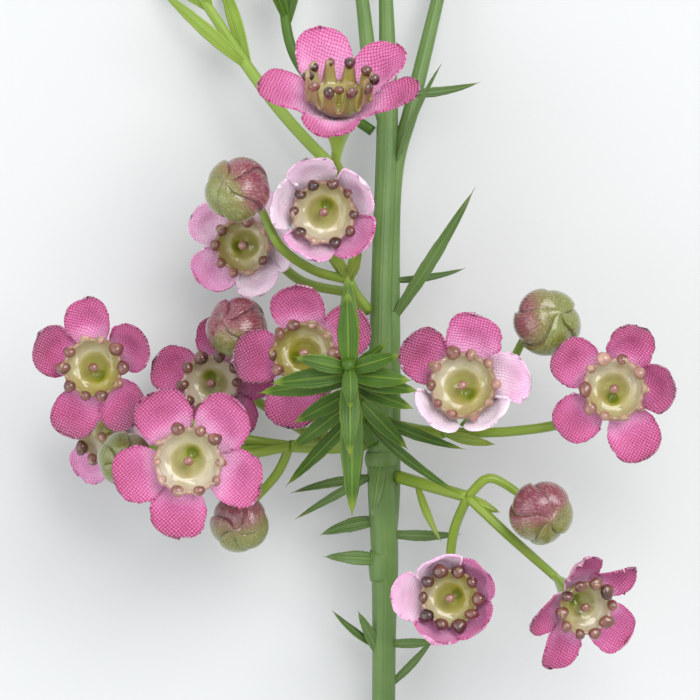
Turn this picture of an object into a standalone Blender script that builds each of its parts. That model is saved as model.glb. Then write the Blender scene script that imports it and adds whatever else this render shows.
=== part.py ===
"""Waxflower stem, lying on a table with its blooms up.

Millimetres in the tables, metres in the scene. +Y runs along the stem to its leafy top, +Z is up,
and +X is to the right when the stem is seen from above. A twig is one moulded piece with its
stalks and green calyxes, and each bloom is a cloth ring of five petals under a glossy cup.
"""

import math
from collections import namedtuple

import bmesh
import bpy
from mathutils import Matrix, Vector

MM = 0.001
GAP = 0.3                    # running gap between two pieces that touch

# The place where the stem was looked at from: straight above the middle of the bloom cluster
EYE_HEIGHT = 900.0
FOCUS_HEIGHT = 25.0
CENTRE_X = -0.6              # middle of the cluster, measured from the middle of the whole stem
CENTRE_Y = 13.15

# Bloom
CUP_HEIGHT = 4.0
CUP_BASE_R = 2.2
CUP_RIM_R = 4.7
CUP_WALL = 0.8
CUP_SHOULDER_R = 4.2         # the cup's wall swells up to here
CUP_SHOULDER_HEIGHT = 2.2
CUP_FLARE = 0.1              # the rim stands out this far past its nominal radius
CUP_FLOOR_R = 2.4
CUP_FLOOR_HEIGHT = 1.0
TEETH = 10
TOOTH_RISE = 1.2
TALL_TOOTH_RISE = 2.2
TOOTH_OUT = 0.25             # a tooth is this much thicker than the wall outside, and inside
TOOTH_IN = 0.45
NOTCH_DEPTH = 0.5
TALL_NOTCH_DEPTH = 1.6
PEG_R = 0.85
STYLE_R = 0.4
STIGMA_R = 0.65
STIGMA_HEIGHT = 3.2
STYLE_HEIGHT = 3.8
CLOTH = 0.6
HOLE_R = 1.2
RING_R = 2.6
PETALS = 5
PETAL_LENGTH = 8.6
PETAL_HALF_WIDTH = 3.9
PETAL_BELLY = 0.55           # the share of its length where a petal is widest
PETAL_TIP_LOSS = 0.45        # the share of its width that it has lost at the last row
PETAL_TIP_ROUND = 0.16       # how much shorter its corners are than its middle
PETAL_START_SLOPE = 30       # degrees, where it leaves the ring
PETAL_BEND = 0.35            # the share of its length over which it takes its own slope
PETAL_ROWS = (0.28, 0.68, 1.0)
PETAL_CLEARANCE = 0.3        # each petal keeps this far from the middle line to its neighbour

# Calyx, stalks, buds and leaves
CALYX_LENGTH = 6.5
CALYX_TOP_R = 2.6
CALYX_FOOT_R = 0.8
CALYX_SOCKET = 1.2           # how deep a stalk goes into its calyx
STALK_R = 0.65
STALK_FOOT = 1.15            # a stalk is this much thicker where it leaves its twig
STALK_LEAD = 1.5             # straight length of a stalk below its calyx
BUD_STALK_LEAD = 3.0
BUD_STALK_TOP_R = 1.1
BUD_R = 4.9
BUD_FOLDS = 5
BUD_FOLD_DEPTH = 0.05        # shares of the bud's radius
BUD_TOP = 0.86
BUD_BOTTOM = 0.94
LEAF_THICKNESS = 0.8
LEAF_FOOT = 0.35             # a leaf's width at its foot as a share of its widest
LEAF_BELLY = 0.42            # the share of its length where it is widest
LEAF_TAPER = 0.5             # the share of its length that narrows to the tip
SHOOT_LEAF_ARCH = 0.05       # rise of a shoot's leaf, as a share of its length
STEM_R = 1.8
SLEEVE_R = 2.15
COLLAR_R = 2.35

CLOTH_ROUGHNESS = 0.8
GLOSS_ROUGHNESS = 0.22
PLASTIC_ROUGHNESS = 0.45

Petal = namedtuple("Petal", "azimuth mid tip cup twist width length")
Bloom = namedtuple("Bloom", "name x y z facing petals size tint rise notch",
                   defaults=(TOOTH_RISE, NOTCH_DEPTH))
Bud = namedtuple("Bud", "name x y z facing size tint")
Leaf = namedtuple("Leaf", "foot tip width arch roll")


def petal(azimuth, mid, tip, cup=0.06, twist=0, width=1.0, length=1.0):
    """One petal: where it points, its slope half way and at its tip, and how far its edges lift."""
    return Petal(azimuth, mid, tip, cup, twist, width, length)


BLOOMS = [
    Bloom("bloom_top", -1.6, 39.6, 36, (0.03, 0.86, 0.52), [
        petal(105, 44, 54, 0.05, 0, 1.0, 1.28), petal(45, 42, 46, 0.05, 0, 1.0, 1.22),
        petal(-14, 30, 32, 0.10, 12, 0.85, 1.16), petal(-98, 14, 8, 0.10),
        petal(178, 26, 22, 0.07, -10, 1.1, 1.08)], 1.08, "rose",
        TALL_TOOTH_RISE, TALL_NOTCH_DEPTH),
    Bloom("bloom_pale_high", -3.9, 20.6, 31, (0.10, -0.06, 1.0), [
        petal(168, 50, 62, 0.07), petal(104, 48, 60, 0.07), petal(30, 54, 74, 0.07),
        petal(-40, 50, 64, 0.07), petal(-110, 58, 76, 0.07)], 1.0, "blush"),
    Bloom("bloom_pale_left", -16.2, 15.6, 18, (-0.25, -0.15, 1.0), [
        petal(150, 34, 34, 0.07), petal(222, 34, 34, 0.07), petal(-66, 46, 52, 0.07),
        petal(4, 40, 50, 0.07), petal(76, 22, 14, 0.07)], 0.9, "blush"),
    Bloom("bloom_far_left", -38.6, -2.6, 33, (-0.10, 0.05, 1.0), [
        petal(160, 30, 26, 0.07), petal(96, 30, 30, 0.07, 0, 0.88, 1.12),
        petal(30, 40, 50, 0.08, 0, 1.0, 1.1), petal(-52, 14, -4, 0.06, 14),
        petal(-116, 14, 0, 0.06, 0, 0.95, 1.08)], 0.94, "magenta"),
    Bloom("bloom_behind_left", -21.0, -5.0, 14.6, (-0.22, 0.0, 1.0), [
        petal(158, 20, 6, 0.06), petal(232, 22, 12, 0.06), petal(-54, 26, 22, 0.06),
        petal(10, 26, 22, 0.06), petal(84, 12, -6, 0.06, 0, 0.9)], 0.92, "magenta"),
    Bloom("bloom_low_left", -24.2, -16.7, 34, (0.06, 0.0, 1.0), [
        petal(122, 20, 6, 0.05), petal(48, 20, 8, 0.06), petal(-20, 16, 4, 0.06),
        petal(-98, 16, 2, 0.06), petal(194, 18, 6, 0.06)], 1.06, "rose"),
    Bloom("bloom_pale_back", -37.6, -13.2, 12.4, (-0.58, -0.25, 0.79), [
        petal(236, 24, 14, 0.06), petal(164, 24, 14, 0.06), petal(92, 24, 14, 0.06),
        petal(20, 16, 4, 0.06), petal(-52, 24, 14, 0.06)], 0.86, "blush"),
    Bloom("bloom_middle", -7.0, -0.4, 27, (-0.12, 0.10, 1.0), [
        petal(183, 22, 10, 0.07), petal(94, 28, 30, 0.07), petal(26, 22, 14, 0.06),
        petal(259, 18, 4, 0.06, 0, 1.0, 1.05), petal(-40, 56, 62, 0.06, 0, 0.9, 0.85)], 1.0,
        "magenta"),
    Bloom("bloom_right", 16.9, -5.2, 33, (0.0, 0.14, 1.0), [
        petal(146, 30, 26, 0.07, 0, 0.95), petal(78, 30, 24, 0.07), petal(10, 40, 36, 0.07),
        petal(-48, 58, 70, 0.07), petal(228, 56, 70, 0.07)], 1.05, "pink"),
    Bloom("bloom_far_right", 39.7, -5.8, 33, (0.05, 0.05, 1.0), [
        petal(144, 24, 16, 0.07, 0, 0.95), petal(68, 30, 26, 0.08, 16, 0.9),
        petal(2, 44, 46, 0.08, 0, 0.95), petal(-62, 16, 4, 0.06, 0, 1.0, 1.08),
        petal(222, 22, 12, 0.07, 0, 0.92)], 0.98, "magenta"),
    Bloom("bloom_low_right", 15.0, -37.2, 27, (0.0, 0.06, 1.0), [
        petal(112, 56, 88, 0.08), petal(182, 38, 42, 0.08), petal(246, 52, 66, 0.08),
        petal(-40, 56, 76, 0.08), petal(34, 56, 76, 0.08)], 0.92, "blush"),
    Bloom("bloom_corner", 35.6, -38.9, 33, (0.34, -0.34, 0.88), [
        petal(96, 40, 44, 0.11, 18, 0.8), petal(30, 26, 18, 0.10, 30, 0.8),
        petal(-42, 20, 4, 0.05, 0, 1.0, 1.05), petal(-114, 14, -4, 0.08, -12, 0.85, 1.15),
        petal(190, 34, 30, 0.10, -22, 0.8)], 0.9, "magenta"),
]

BUDS = [
    Bud("bud_high", -16.9, 24.1, 34, (-0.40, 0.30, 0.86), 1.02, "plum"),
    Bud("bud_right", 29.6, 4.2, 27, (0.42, 0.34, 0.84), 1.06, "olive"),
    Bud("bud_low_right", 28.7, -24.4, 28, (0.34, -0.30, 0.88), 1.0, "mixed"),
    Bud("bud_behind", -17.0, 3.4, 19.4, (-0.50, 0.30, 0.80), 0.98, "plum"),
    Bud("bud_green_left", -33.8, -16.3, 23.4, (-0.30, -0.20, 0.93), 0.86, "olive"),
    Bud("bud_low_left", -16.6, -26.0, 21, (-0.15, -0.30, 0.94), 0.92, "mixed"),
]

TINTS = {
    "magenta": (0.66, 0.09, 0.27), "rose": (0.72, 0.16, 0.36), "pink": (0.80, 0.30, 0.46),
    "blush": (0.87, 0.52, 0.66), "plum": (0.26, 0.09, 0.10), "olive": (0.24, 0.27, 0.08),
    "mixed": (0.30, 0.19, 0.10), "cup": (0.52, 0.50, 0.16), "leaf": (0.13, 0.28, 0.07),
    "twig": (0.22, 0.38, 0.09), "stem": (0.12, 0.27, 0.08), "young": (0.32, 0.48, 0.12),
}


def seen(x, y, z):
    """The point at height z on the sight line through (x, y) at the focus height, in stem coordinates."""
    reach = (EYE_HEIGHT + FOCUS_HEIGHT - z) / EYE_HEIGHT
    return Vector((x * reach + CENTRE_X, y * reach + CENTRE_Y, z))


def clear_scene():
    for thing in list(bpy.data.objects):
        bpy.data.objects.remove(thing, do_unlink=True)


def material(name, roughness=0.5):
    found = bpy.data.materials.get(name)
    if found:
        return found
    made = bpy.data.materials.new(name)
    made.use_nodes = True
    shader = made.node_tree.nodes["Principled BSDF"]
    shader.inputs["Base Color"].default_value = (*TINTS[name], 1)
    shader.inputs["Roughness"].default_value = roughness
    made.diffuse_color = (*TINTS[name], 1)
    return made


def add_object(name, mesh, collection, finish=None):
    thing = bpy.data.objects.new(name, mesh)
    collection.objects.link(thing)
    if finish:
        thing.data.materials.clear()
        thing.data.materials.append(finish)
    return thing


def face_outwards(shape):
    """Turns every face of a closed mesh outwards."""
    bmesh.ops.recalc_face_normals(shape, faces=shape.faces)
    if shape.calc_volume(signed=True) < 0:
        bmesh.ops.reverse_faces(shape, faces=shape.faces)


def evaluated_mesh(thing):
    """The thing's mesh with its modifiers, welded where a curve's caps meet its sides."""
    bpy.context.view_layer.update()
    graph = bpy.context.evaluated_depsgraph_get()
    mesh = bpy.data.meshes.new_from_object(thing.evaluated_get(graph))
    shape = bmesh.new()
    shape.from_mesh(mesh)
    bmesh.ops.remove_doubles(shape, verts=shape.verts, dist=1e-6)
    face_outwards(shape)
    shape.to_mesh(mesh)
    shape.free()
    return mesh


def frame_of(normal, up=Vector((1, 0, 0))):
    """Axes (across, along, normal): across is as near to the given direction as it can be."""
    n = Vector(normal).normalized()
    across = (up - n * up.dot(n)).normalized()
    return across, n.cross(across), n


def placed(origin, axes):
    """The matrix that carries local x, y, z onto the three axes, from millimetres to metres."""
    turn = Matrix(axes).transposed().to_4x4()
    return Matrix.Translation(Vector(origin) * MM) @ turn @ Matrix.Scale(MM, 4)


def tube(name, points, radii, collection, bevel_resolution=1):
    """A round stalk through the points, thinner or thicker as the radii say."""
    line = bpy.data.curves.new(name, "CURVE")
    line.dimensions = "3D"
    line.bevel_depth = MM
    line.bevel_resolution = bevel_resolution
    line.resolution_u = 3
    line.use_fill_caps = True
    spline = line.splines.new("BEZIER")
    spline.bezier_points.add(len(points) - 1)
    for knot, point, radius in zip(spline.bezier_points, points, radii):
        knot.co = Vector(point) * MM
        knot.radius = radius
        knot.handle_left_type = knot.handle_right_type = "AUTO"
    curve = bpy.data.objects.new(name + "_line", line)
    collection.objects.link(curve)
    mesh = evaluated_mesh(curve)
    bpy.data.objects.remove(curve, do_unlink=True)
    return add_object(name, mesh, collection)


def leaf_outline(t):
    """Half width along a leaf, as a share of its widest: a narrow foot, a long belly, a sharp tip."""
    swell = math.sin(math.pi / 2 * min(t / LEAF_BELLY, 1.0))
    return (LEAF_FOOT + (1 - LEAF_FOOT) * swell) * min(1.0, (1.0 - t) / LEAF_TAPER) ** 0.75


def leaf(name, shape, collection):
    """A four-sided spindle made flat, keeled below and arched, from its foot to its tip."""
    foot, tip = Vector(shape.foot), Vector(shape.tip)
    length = (tip - foot).length
    along = (tip - foot) / length
    side = along.cross(Vector((0, 0, 1)))
    if side.length < 0.05:
        side = along.cross(Vector((0, 1, 0)))
    side = (Matrix.Rotation(math.radians(shape.roll), 3, along) @ side).normalized()
    up = side.cross(along)
    form = bmesh.new()
    bmesh.ops.create_uvsphere(form, u_segments=4, v_segments=5, radius=1.0)
    for corner in form.verts:
        t = math.acos(max(-1.0, min(1.0, -corner.co.z))) / math.pi
        round_it = Vector((corner.co.x, corner.co.y))
        if round_it.length > 1e-6:
            round_it.normalize()
        x = round_it.x * shape.width / 2 * leaf_outline(t)
        y = round_it.y * LEAF_THICKNESS / 2 * leaf_outline(t) ** 0.5
        rise = shape.arch * 4 * t * (1 - t)
        corner.co = (foot + along * (length * t) + side * x + up * (y + rise)) * MM
    face_outwards(form)
    mesh = bpy.data.meshes.new(name)
    form.to_mesh(mesh)
    form.free()
    return add_object(name, mesh, collection)


def joined(name, first, others, collection, finish):
    """One solid from a stalk and everything that grows from it."""
    helpers = bpy.data.collections.new(name + "_growth")
    bpy.context.scene.collection.children.link(helpers)
    for other in others:
        collection.objects.unlink(other)
        helpers.objects.link(other)
    union = first.modifiers.new("growth", "BOOLEAN")
    union.operation = "UNION"
    union.operand_type = "COLLECTION"
    union.collection = helpers
    union.solver = "MANIFOLD"
    mesh = evaluated_mesh(first)
    for other in others:
        bpy.data.objects.remove(other, do_unlink=True)
    bpy.data.collections.remove(helpers)
    bpy.data.objects.remove(first, do_unlink=True)
    return add_object(name, mesh, collection, finish)


def petal_path(shape, steps=48):
    """Points (distance, radius, height, slope) along a petal's middle line, bending smoothly outwards."""
    start, bend = math.radians(PETAL_START_SLOPE), PETAL_BEND
    mid, tip = math.radians(shape.mid), math.radians(shape.tip)
    length = PETAL_LENGTH * shape.length
    radius, height, path = RING_R, 0.0, []
    for step in range(steps + 1):
        v = step / steps
        ease = min(v / bend, 1.0)
        slope = start + (mid - start) * ease * ease * (3 - 2 * ease)
        slope += (tip - mid) * max(v - bend, 0.0) / (1 - bend)
        path.append((v, radius, height, slope))
        radius += math.cos(slope) * length / steps
        height += math.sin(slope) * length / steps
    return path


def petal_half_width(v):
    """Half width of a petal at a share v of its length: narrow foot, full belly, round tip."""
    foot = RING_R * math.sin(math.pi / PETALS) / PETAL_HALF_WIDTH
    belly = foot + (1 - foot) * math.sin(math.pi / 2 * min(v / PETAL_BELLY, 1.0)) ** 1.2
    past_belly = max((v - PETAL_BELLY) / (1 - PETAL_BELLY), 0.0)
    return PETAL_HALF_WIDTH * belly * (1 - PETAL_TIP_LOSS * past_belly ** 2.2)


def petal_point(shape, path, rooms, u, v):
    """The point of a petal at u across (-1 to 1) and v along (0 to 1), before it is turned to its place.

    rooms are the angles from its middle to the middle lines to its neighbours, which it stays between."""
    half = petal_half_width(v) * (1 + (shape.width - 1) * min(v * 3, 1.0))
    round_off = 1 - PETAL_TIP_ROUND * u * u * max((v - 0.5) / 0.5, 0.0)
    place = v * round_off * (len(path) - 1)
    low = min(int(place), len(path) - 2)
    share = place - low
    _, radius, height, slope = (a + (b - a) * share for a, b in zip(path[low], path[low + 1]))
    across = half * u
    lift = shape.cup * across * across * min(v * 2.5, 1.0)
    turn = math.radians(shape.twist) * v
    across, lift = (across * math.cos(turn) - lift * math.sin(turn),
                    across * math.sin(turn) + lift * math.cos(turn))
    out = radius - math.sin(slope) * lift
    least, most = (out * math.tan(room) - PETAL_CLEARANCE * abs(u) for room in rooms)
    return Vector((out, max(-least, min(most, across)), height + math.cos(slope) * lift))


def corolla(bloom, origin, axes, collection):
    """The cloth ring: five petals and the pierced disc that the calyx and the cup hold between them."""
    rows = [("hole", HOLE_R), ("ring", RING_R)] + [("petal", v) for v in PETAL_ROWS]
    sheet = bmesh.new()
    turns = sorted(shape.azimuth % 360 for shape in bloom.petals)
    ordered = sorted(bloom.petals, key=lambda shape: shape.azimuth % 360)
    for place, shape in enumerate(ordered):
        before = turns[place - 1] - (360 if place == 0 else 0)
        after = turns[(place + 1) % PETALS] + (360 if place == PETALS - 1 else 0)
        low, high = (turns[place] + before) / 2, (turns[place] + after) / 2
        path = petal_path(shape)
        rooms = math.radians(turns[place] - low), math.radians(high - turns[place])
        grid = bmesh.ops.create_grid(sheet, x_segments=4, y_segments=len(rows) - 1, size=0.5)["verts"]
        turned = Matrix.Rotation(math.radians(turns[place]), 3, "Z")
        for corner in grid:
            u = round(corner.co.x * 4) / 2
            kind, amount = rows[round((corner.co.y + 0.5) * (len(rows) - 1))]
            if kind == "petal":
                corner.co = turned @ petal_point(shape, path, rooms, u, amount)
            else:
                angle = math.radians((low + high) / 2 + (high - low) / 2 * u)
                corner.co = Vector((math.cos(angle) * amount, math.sin(angle) * amount, 0.0))
    bmesh.ops.remove_doubles(sheet, verts=sheet.verts, dist=0.01)
    bmesh.ops.triangulate(sheet, faces=sheet.faces)
    bmesh.ops.recalc_face_normals(sheet, faces=sheet.faces)
    lowest = min(sheet.faces, key=lambda face: face.calc_center_median().xy.length)
    if lowest.normal.z < 0:
        bmesh.ops.reverse_faces(sheet, faces=sheet.faces)
    bmesh.ops.scale(sheet, vec=Vector((bloom.size,) * 3), verts=sheet.verts)
    bmesh.ops.transform(sheet, matrix=placed(origin + axes[2] * (GAP + CLOTH), axes), verts=sheet.verts)
    mesh = bpy.data.meshes.new(bloom.name)
    sheet.to_mesh(mesh)
    sheet.free()
    blank = add_object(bloom.name + "_blank", mesh, collection)
    wall = blank.modifiers.new("cloth", "SOLIDIFY")
    wall.thickness = CLOTH * MM
    wall.offset = -1
    solid = add_object("petals_" + bloom.name, evaluated_mesh(blank), collection,
                       material(bloom.tint, CLOTH_ROUGHNESS))
    bpy.data.objects.remove(blank, do_unlink=True)
    return solid


def cup(bloom, origin, axes, collection):
    """The glossy cup: a turned bowl with a peg below, a style in its middle and a ring of teeth."""
    profile = [
        (0.0, -CLOTH - GAP), (PEG_R, -CLOTH - GAP), (PEG_R, 0.0), (CUP_BASE_R, 0.0),
        (CUP_SHOULDER_R, CUP_SHOULDER_HEIGHT), (CUP_RIM_R + CUP_FLARE, CUP_HEIGHT),
        (CUP_RIM_R - CUP_WALL, CUP_HEIGHT), (CUP_FLOOR_R, CUP_FLOOR_HEIGHT),
        (STYLE_R, CUP_FLOOR_HEIGHT), (STIGMA_R, STIGMA_HEIGHT), (0.0, STYLE_HEIGHT),
    ]
    form = bmesh.new()
    corners = [form.verts.new((radius, 0.0, height)) for radius, height in profile]
    edges = [form.edges.new(pair) for pair in zip(corners, corners[1:])]
    bmesh.ops.spin(form, geom=corners + edges, cent=(0, 0, 0), axis=(0, 0, 1), angle=math.tau,
                   steps=2 * TEETH, use_merge=True)
    bmesh.ops.remove_doubles(form, verts=form.verts, dist=0.01)
    for corner in form.verts:
        radius = corner.co.xy.length
        if radius < CUP_FLOOR_R or corner.co.z < CUP_HEIGHT - GAP:
            continue
        column = round(math.atan2(corner.co.y, corner.co.x) / (math.pi / TEETH))
        if column % 2 == 0:
            corner.co.z += bloom.rise
            corner.co.xy *= 1 + (TOOTH_OUT if radius > CUP_RIM_R else -TOOTH_IN) / radius
        else:
            corner.co.z -= bloom.notch
    face_outwards(form)
    bmesh.ops.scale(form, vec=Vector((bloom.size, bloom.size, 1)), verts=form.verts)
    seat = origin + axes[2] * (2 * GAP + CLOTH)
    bmesh.ops.transform(form, matrix=placed(seat, axes), verts=form.verts)
    mesh = bpy.data.meshes.new("cup_" + bloom.name)
    form.to_mesh(mesh)
    form.free()
    return add_object("cup_" + bloom.name, mesh, collection, material("cup", GLOSS_ROUGHNESS))


def bloom_seat(bloom):
    """(origin, axes): the middle of the calyx's flat top, and the bloom's own directions."""
    axes = frame_of(bloom.facing)
    height = 2 * GAP + CLOTH + CUP_HEIGHT
    return seen(bloom.x, bloom.y, bloom.z) - axes[2] * height, axes


def calyx(name, origin, axes, collection, size=1.0):
    """The green cone under a bloom, its flat top up."""
    form = bmesh.new()
    bmesh.ops.create_cone(form, cap_ends=True, segments=8, radius1=CALYX_FOOT_R,
                          radius2=CALYX_TOP_R * size, depth=CALYX_LENGTH)
    middle = origin - axes[2] * (CALYX_LENGTH / 2)
    bmesh.ops.transform(form, matrix=placed(middle, axes), verts=form.verts)
    mesh = bpy.data.meshes.new(name)
    form.to_mesh(mesh)
    form.free()
    return add_object(name, mesh, collection)


def bud(shape, collection):
    """A closed bloom: a ball gathered in folds that meet at its top, dented where the stalk enters."""
    centre = seen(shape.x, shape.y, shape.z)
    axes = frame_of(shape.facing)
    form = bmesh.new()
    bmesh.ops.create_uvsphere(form, u_segments=2 * BUD_FOLDS, v_segments=7, radius=BUD_R * shape.size)
    for corner in form.verts:
        x, y, z = corner.co
        ring = math.hypot(x, y)
        column = round(math.atan2(y, x) / (math.pi / BUD_FOLDS))
        depth = BUD_FOLD_DEPTH * ring / (BUD_R * shape.size)
        swell = 1.0 + (depth if column % 2 == 0 else -depth)
        corner.co = Vector((x * swell, y * swell, z * (BUD_TOP if z > 0 else BUD_BOTTOM)))
    bmesh.ops.transform(form, matrix=placed(centre, axes), verts=form.verts)
    mesh = bpy.data.meshes.new(shape.name)
    form.to_mesh(mesh)
    form.free()
    return add_object(shape.name, mesh, collection, material(shape.tint, GLOSS_ROUGHNESS))


def bud_foot(shape):
    """The point just under a bud where its stalk ends, and the bud's axis."""
    axes = frame_of(shape.facing)
    depth = BUD_R * shape.size * BUD_BOTTOM + GAP
    return seen(shape.x, shape.y, shape.z) - axes[2] * depth, axes[2]


def bloom_stalk(bloom, route, collection):
    """A stalk from the twig to a bloom, with its calyx. Returns the solids to be joined."""
    origin, axes = bloom_seat(bloom)
    foot = origin - axes[2] * (CALYX_LENGTH - CALYX_SOCKET)
    lead = origin - axes[2] * (CALYX_LENGTH + STALK_LEAD)
    points = list(route) + [lead, foot]
    radii = [STALK_R * STALK_FOOT] * len(route) + [STALK_R] * 2
    return [tube("stalk", points, radii, collection), calyx("calyx", origin, axes, collection, bloom.size)]


def bud_stalk(shape, route, collection):
    """A stalk from the twig to a bud, widening a little under it."""
    foot, axis = bud_foot(shape)
    points = list(route) + [foot - axis * BUD_STALK_LEAD, foot]
    radii = [STALK_R * STALK_FOOT] * len(route) + [STALK_R, BUD_STALK_TOP_R]
    return [tube("stalk", points, radii, collection)]


def named(items, name):
    return next(item for item in items if item.name == name)


def shoot_leaves(path, pairs, first_turn, spread, collection):
    """Leaf pairs along a straight shoot, each pair a quarter turn from the one before.

    path is the shoot's two ends, pairs the (share of the shoot, length, width) of each pair,
    and spread the angle between a leaf and the shoot."""
    start, end = path
    axis = (end - start).normalized()
    across, along, _ = frame_of(axis, Vector((1, 0, 0)) if abs(axis.x) < 0.9 else Vector((0, 1, 0)))
    solids = []
    for place, (share, length, width) in enumerate(pairs):
        turn = math.radians(first_turn + 90 * place)
        for side in (1, -1):
            out = (across * math.cos(turn) + along * math.sin(turn)) * side
            foot = start.lerp(end, share)
            way = axis * math.cos(math.radians(spread)) + out * math.sin(math.radians(spread))
            blade = Leaf(foot, foot + way * length, width, SHOOT_LEAF_ARCH * length, 0)
            solids.append(leaf("leaf", blade, collection))
    return solids


def shoot(name, route, radius, pairs, first_turn, spread, collection, tint):
    """A leafy side shoot: a thin stalk through the route, with leaf pairs on its last straight length."""
    points = [seen(*place) for place in route]
    points.insert(-1, (points[-2] + points[-1]) / 2)
    radii = [radius] * (len(points) - 2) + [radius * 0.8, radius * 0.55]
    stalk = tube("stalk", points, radii, collection)
    growth = shoot_leaves((points[-3], points[-1]), pairs, first_turn, spread, collection)
    return joined(name, stalk, growth, collection, material(tint, PLASTIC_ROUGHNESS))


# The thick stem's routes as seen, from the cut end up, with the radius at each point
STEM_ROUTES = {
    "trunk": [(4.6, -104.0, 1.6), (4.7, -92.0, 1.6), (4.9, -84.0, 2.4), (5.0, -62.0, 5.6),
              (5.1, -44.0, 8.4), (5.2, -31.0, 10.5), (4.6, -16.0, 12.6), (4.7, 8.0, 12.8),
              (5.6, 34.0, 10.8), (5.4, 52.0, 8.0), (4.2, 70.0, 4.6)],
    "fork": [(5.2, -34.0, 10.0), (6.2, -22.0, 10.8), (6.4, -6.0, 11.4), (6.6, 24.0, 11.0),
             (9.4, 37.0, 9.2), (13.0, 52.0, 5.0), (16.2, 66.0, 0.6)],
    "twin": [(5.3, 34.0, 10.8), (3.0, 43.0, 10.4), (1.6, 54.0, 8.2), (-1.4, 70.0, 5.0)],
    "sleeve": [(4.95, -34.5, 9.9), (4.9, -30.0, 10.7)],
    "collar": [(4.6, -17.5, 12.5), (4.6, -15.2, 12.65)],
}
TRUNK_RADII = [STEM_R] * 5 + [STEM_R * 1.15] * 2 + [STEM_R * 0.9] * 2 + [STEM_R * 0.62] * 2
FORK_RADII = [1.2, 1.3, 1.2, 1.15, 1.2, 1.0, 0.75]
TWIN_RADII = [1.2, 1.2, 1.0, 0.7]

# Leaves that grow straight from the thick stem: (foot, tip, width, arch, roll), foot and tip as seen
STEM_LEAVES = [
    ((6.0, 4.0, 11.6), (18.9, 24.6, 18.0), 2.2, 0.6, 20),
    ((6.6, 26.5, 11.2), (13.8, 43.0, 17.0), 1.7, -0.8, 60),
    ((5.6, 38.5, 10.2), (19.6, 40.2, 7.0), 1.7, 1.4, 30),
    ((5.6, 10.5, 12.0), (17.4, 12.3, 7.0), 1.5, 0.8, 40),
    ((5.2, -31.5, 10.2), (-4.1, -31.0, 12.5), 2.2, 0.8, 10),
    ((5.2, -25.5, 11.2), (-4.6, -27.8, 8.0), 2.4, 0.9, 30),
    ((4.8, -19.0, 12.4), (-9.0, -21.5, 9.0), 1.7, 0.9, 30),
    ((4.8, -18.0, 12.4), (-8.6, -25.6, 14.0), 1.4, 0.9, 10),
    ((4.7, -15.5, 13.0), (3.3, -25.6, 17.0), 2.4, 0.9, 0),
    ((5.3, -27.5, 10.8), (16.8, -27.6, 8.0), 1.8, 0.8, 20),
    ((5.0, -45.0, 8.2), (-2.7, -39.0, 12.0), 1.5, -0.8, 40),
    ((5.0, -46.5, 8.0), (1.1, -39.0, 11.5), 1.9, 0.3, 0),
    ((5.0, -44.0, 8.4), (14.4, -43.6, 11.0), 1.6, 0.4, 20),
    ((5.0, -51.0, 7.3), (12.9, -42.6, 4.5), 1.5, 0.8, 30),
    ((5.0, -66.0, 5.0), (-6.0, -56.5, 7.0), 2.0, 0.7, 20),
    ((4.9, -70.0, 4.5), (15.0, -60.0, 7.5), 2.0, 0.7, 20),
    ((4.9, -84.0, 3.0), (-3.0, -74.0, 8.0), 1.9, 0.7, 20),
]

# Leaves of the short shoot that points at the viewer, written in the same way
FRONT_LEAVES = [
    ((-0.2, -2.6, 42.0), (-0.4, 9.2, 43.6), 3.2, 0.5, 0),
    ((0.1, -3.6, 38.6), (-0.4, 12.0, 37.6), 3.0, 0.6, 0),
    ((-0.2, -2.9, 41.2), (-8.4, -1.0, 43.0), 2.6, 0.4, 0),
    ((-0.2, -2.9, 41.2), (7.7, -0.6, 43.0), 2.6, 0.4, 0),
    ((-0.1, -3.4, 39.5), (5.6, 1.2, 41.0), 1.8, 0.4, 0),
    ((0.0, -2.6, 42.4), (0.1, -9.0, 44.2), 2.4, 0.4, 0),
    ((0.0, -3.6, 39.2), (0.0, -16.4, 42.0), 3.2, 0.5, 0),
    ((0.3, -4.6, 36.4), (0.3, -25.4, 37.5), 3.6, 0.8, 0),
    ((-0.1, -3.6, 39.4), (-12.0, -5.0, 40.0), 3.2, 0.6, 0),
    ((0.2, -4.4, 36.8), (-14.0, -6.5, 35.0), 3.0, 0.6, 0),
    ((-0.1, -3.6, 39.4), (9.3, -4.6, 41.0), 3.2, 0.5, 0),
    ((0.1, -4.2, 37.4), (10.4, -6.2, 39.6), 2.8, 0.5, 0),
    ((0.5, -5.2, 34.6), (9.7, -8.9, 37.4), 2.8, 0.5, 0),
    ((0.8, -6.0, 31.6), (-8.6, -11.0, 31.0), 2.8, 0.6, 0),
    ((1.1, -7.2, 28.4), (-9.4, -15.2, 26.0), 2.6, 0.6, 0),
    ((1.1, -7.2, 28.4), (8.8, -15.0, 26.0), 2.6, 0.5, 0),
    ((1.6, -8.8, 24.0), (-9.8, -20.6, 20.0), 2.2, 0.6, 0),
    ((1.6, -8.8, 24.0), (17.6, -15.0, 25.4), 2.0, 1.6, 20),
    ((2.0, -10.0, 21.0), (16.8, -21.8, 25.4), 1.9, 1.6, 30),
]


def main_stem(collection):
    """The thick stem with its fork, and the single leaves that grow on it."""
    routes = {name: [seen(*place) for place in places] for name, places in STEM_ROUTES.items()}
    trunk = tube("trunk", routes["trunk"], TRUNK_RADII, collection, 2)
    growth = [
        tube("fork", routes["fork"], FORK_RADII, collection),
        tube("twin", routes["twin"], TWIN_RADII, collection),
        tube("sleeve", routes["sleeve"], [SLEEVE_R] * 2, collection, 2),
        tube("collar", routes["collar"], [COLLAR_R] * 2, collection, 2),
    ]
    for foot, tip, width, arch, roll in STEM_LEAVES:
        growth.append(leaf("leaf", Leaf(seen(*foot), seen(*tip), width, arch, roll), collection))
    return joined("main_stem", trunk, growth, collection, material("stem", PLASTIC_ROUGHNESS))


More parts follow.
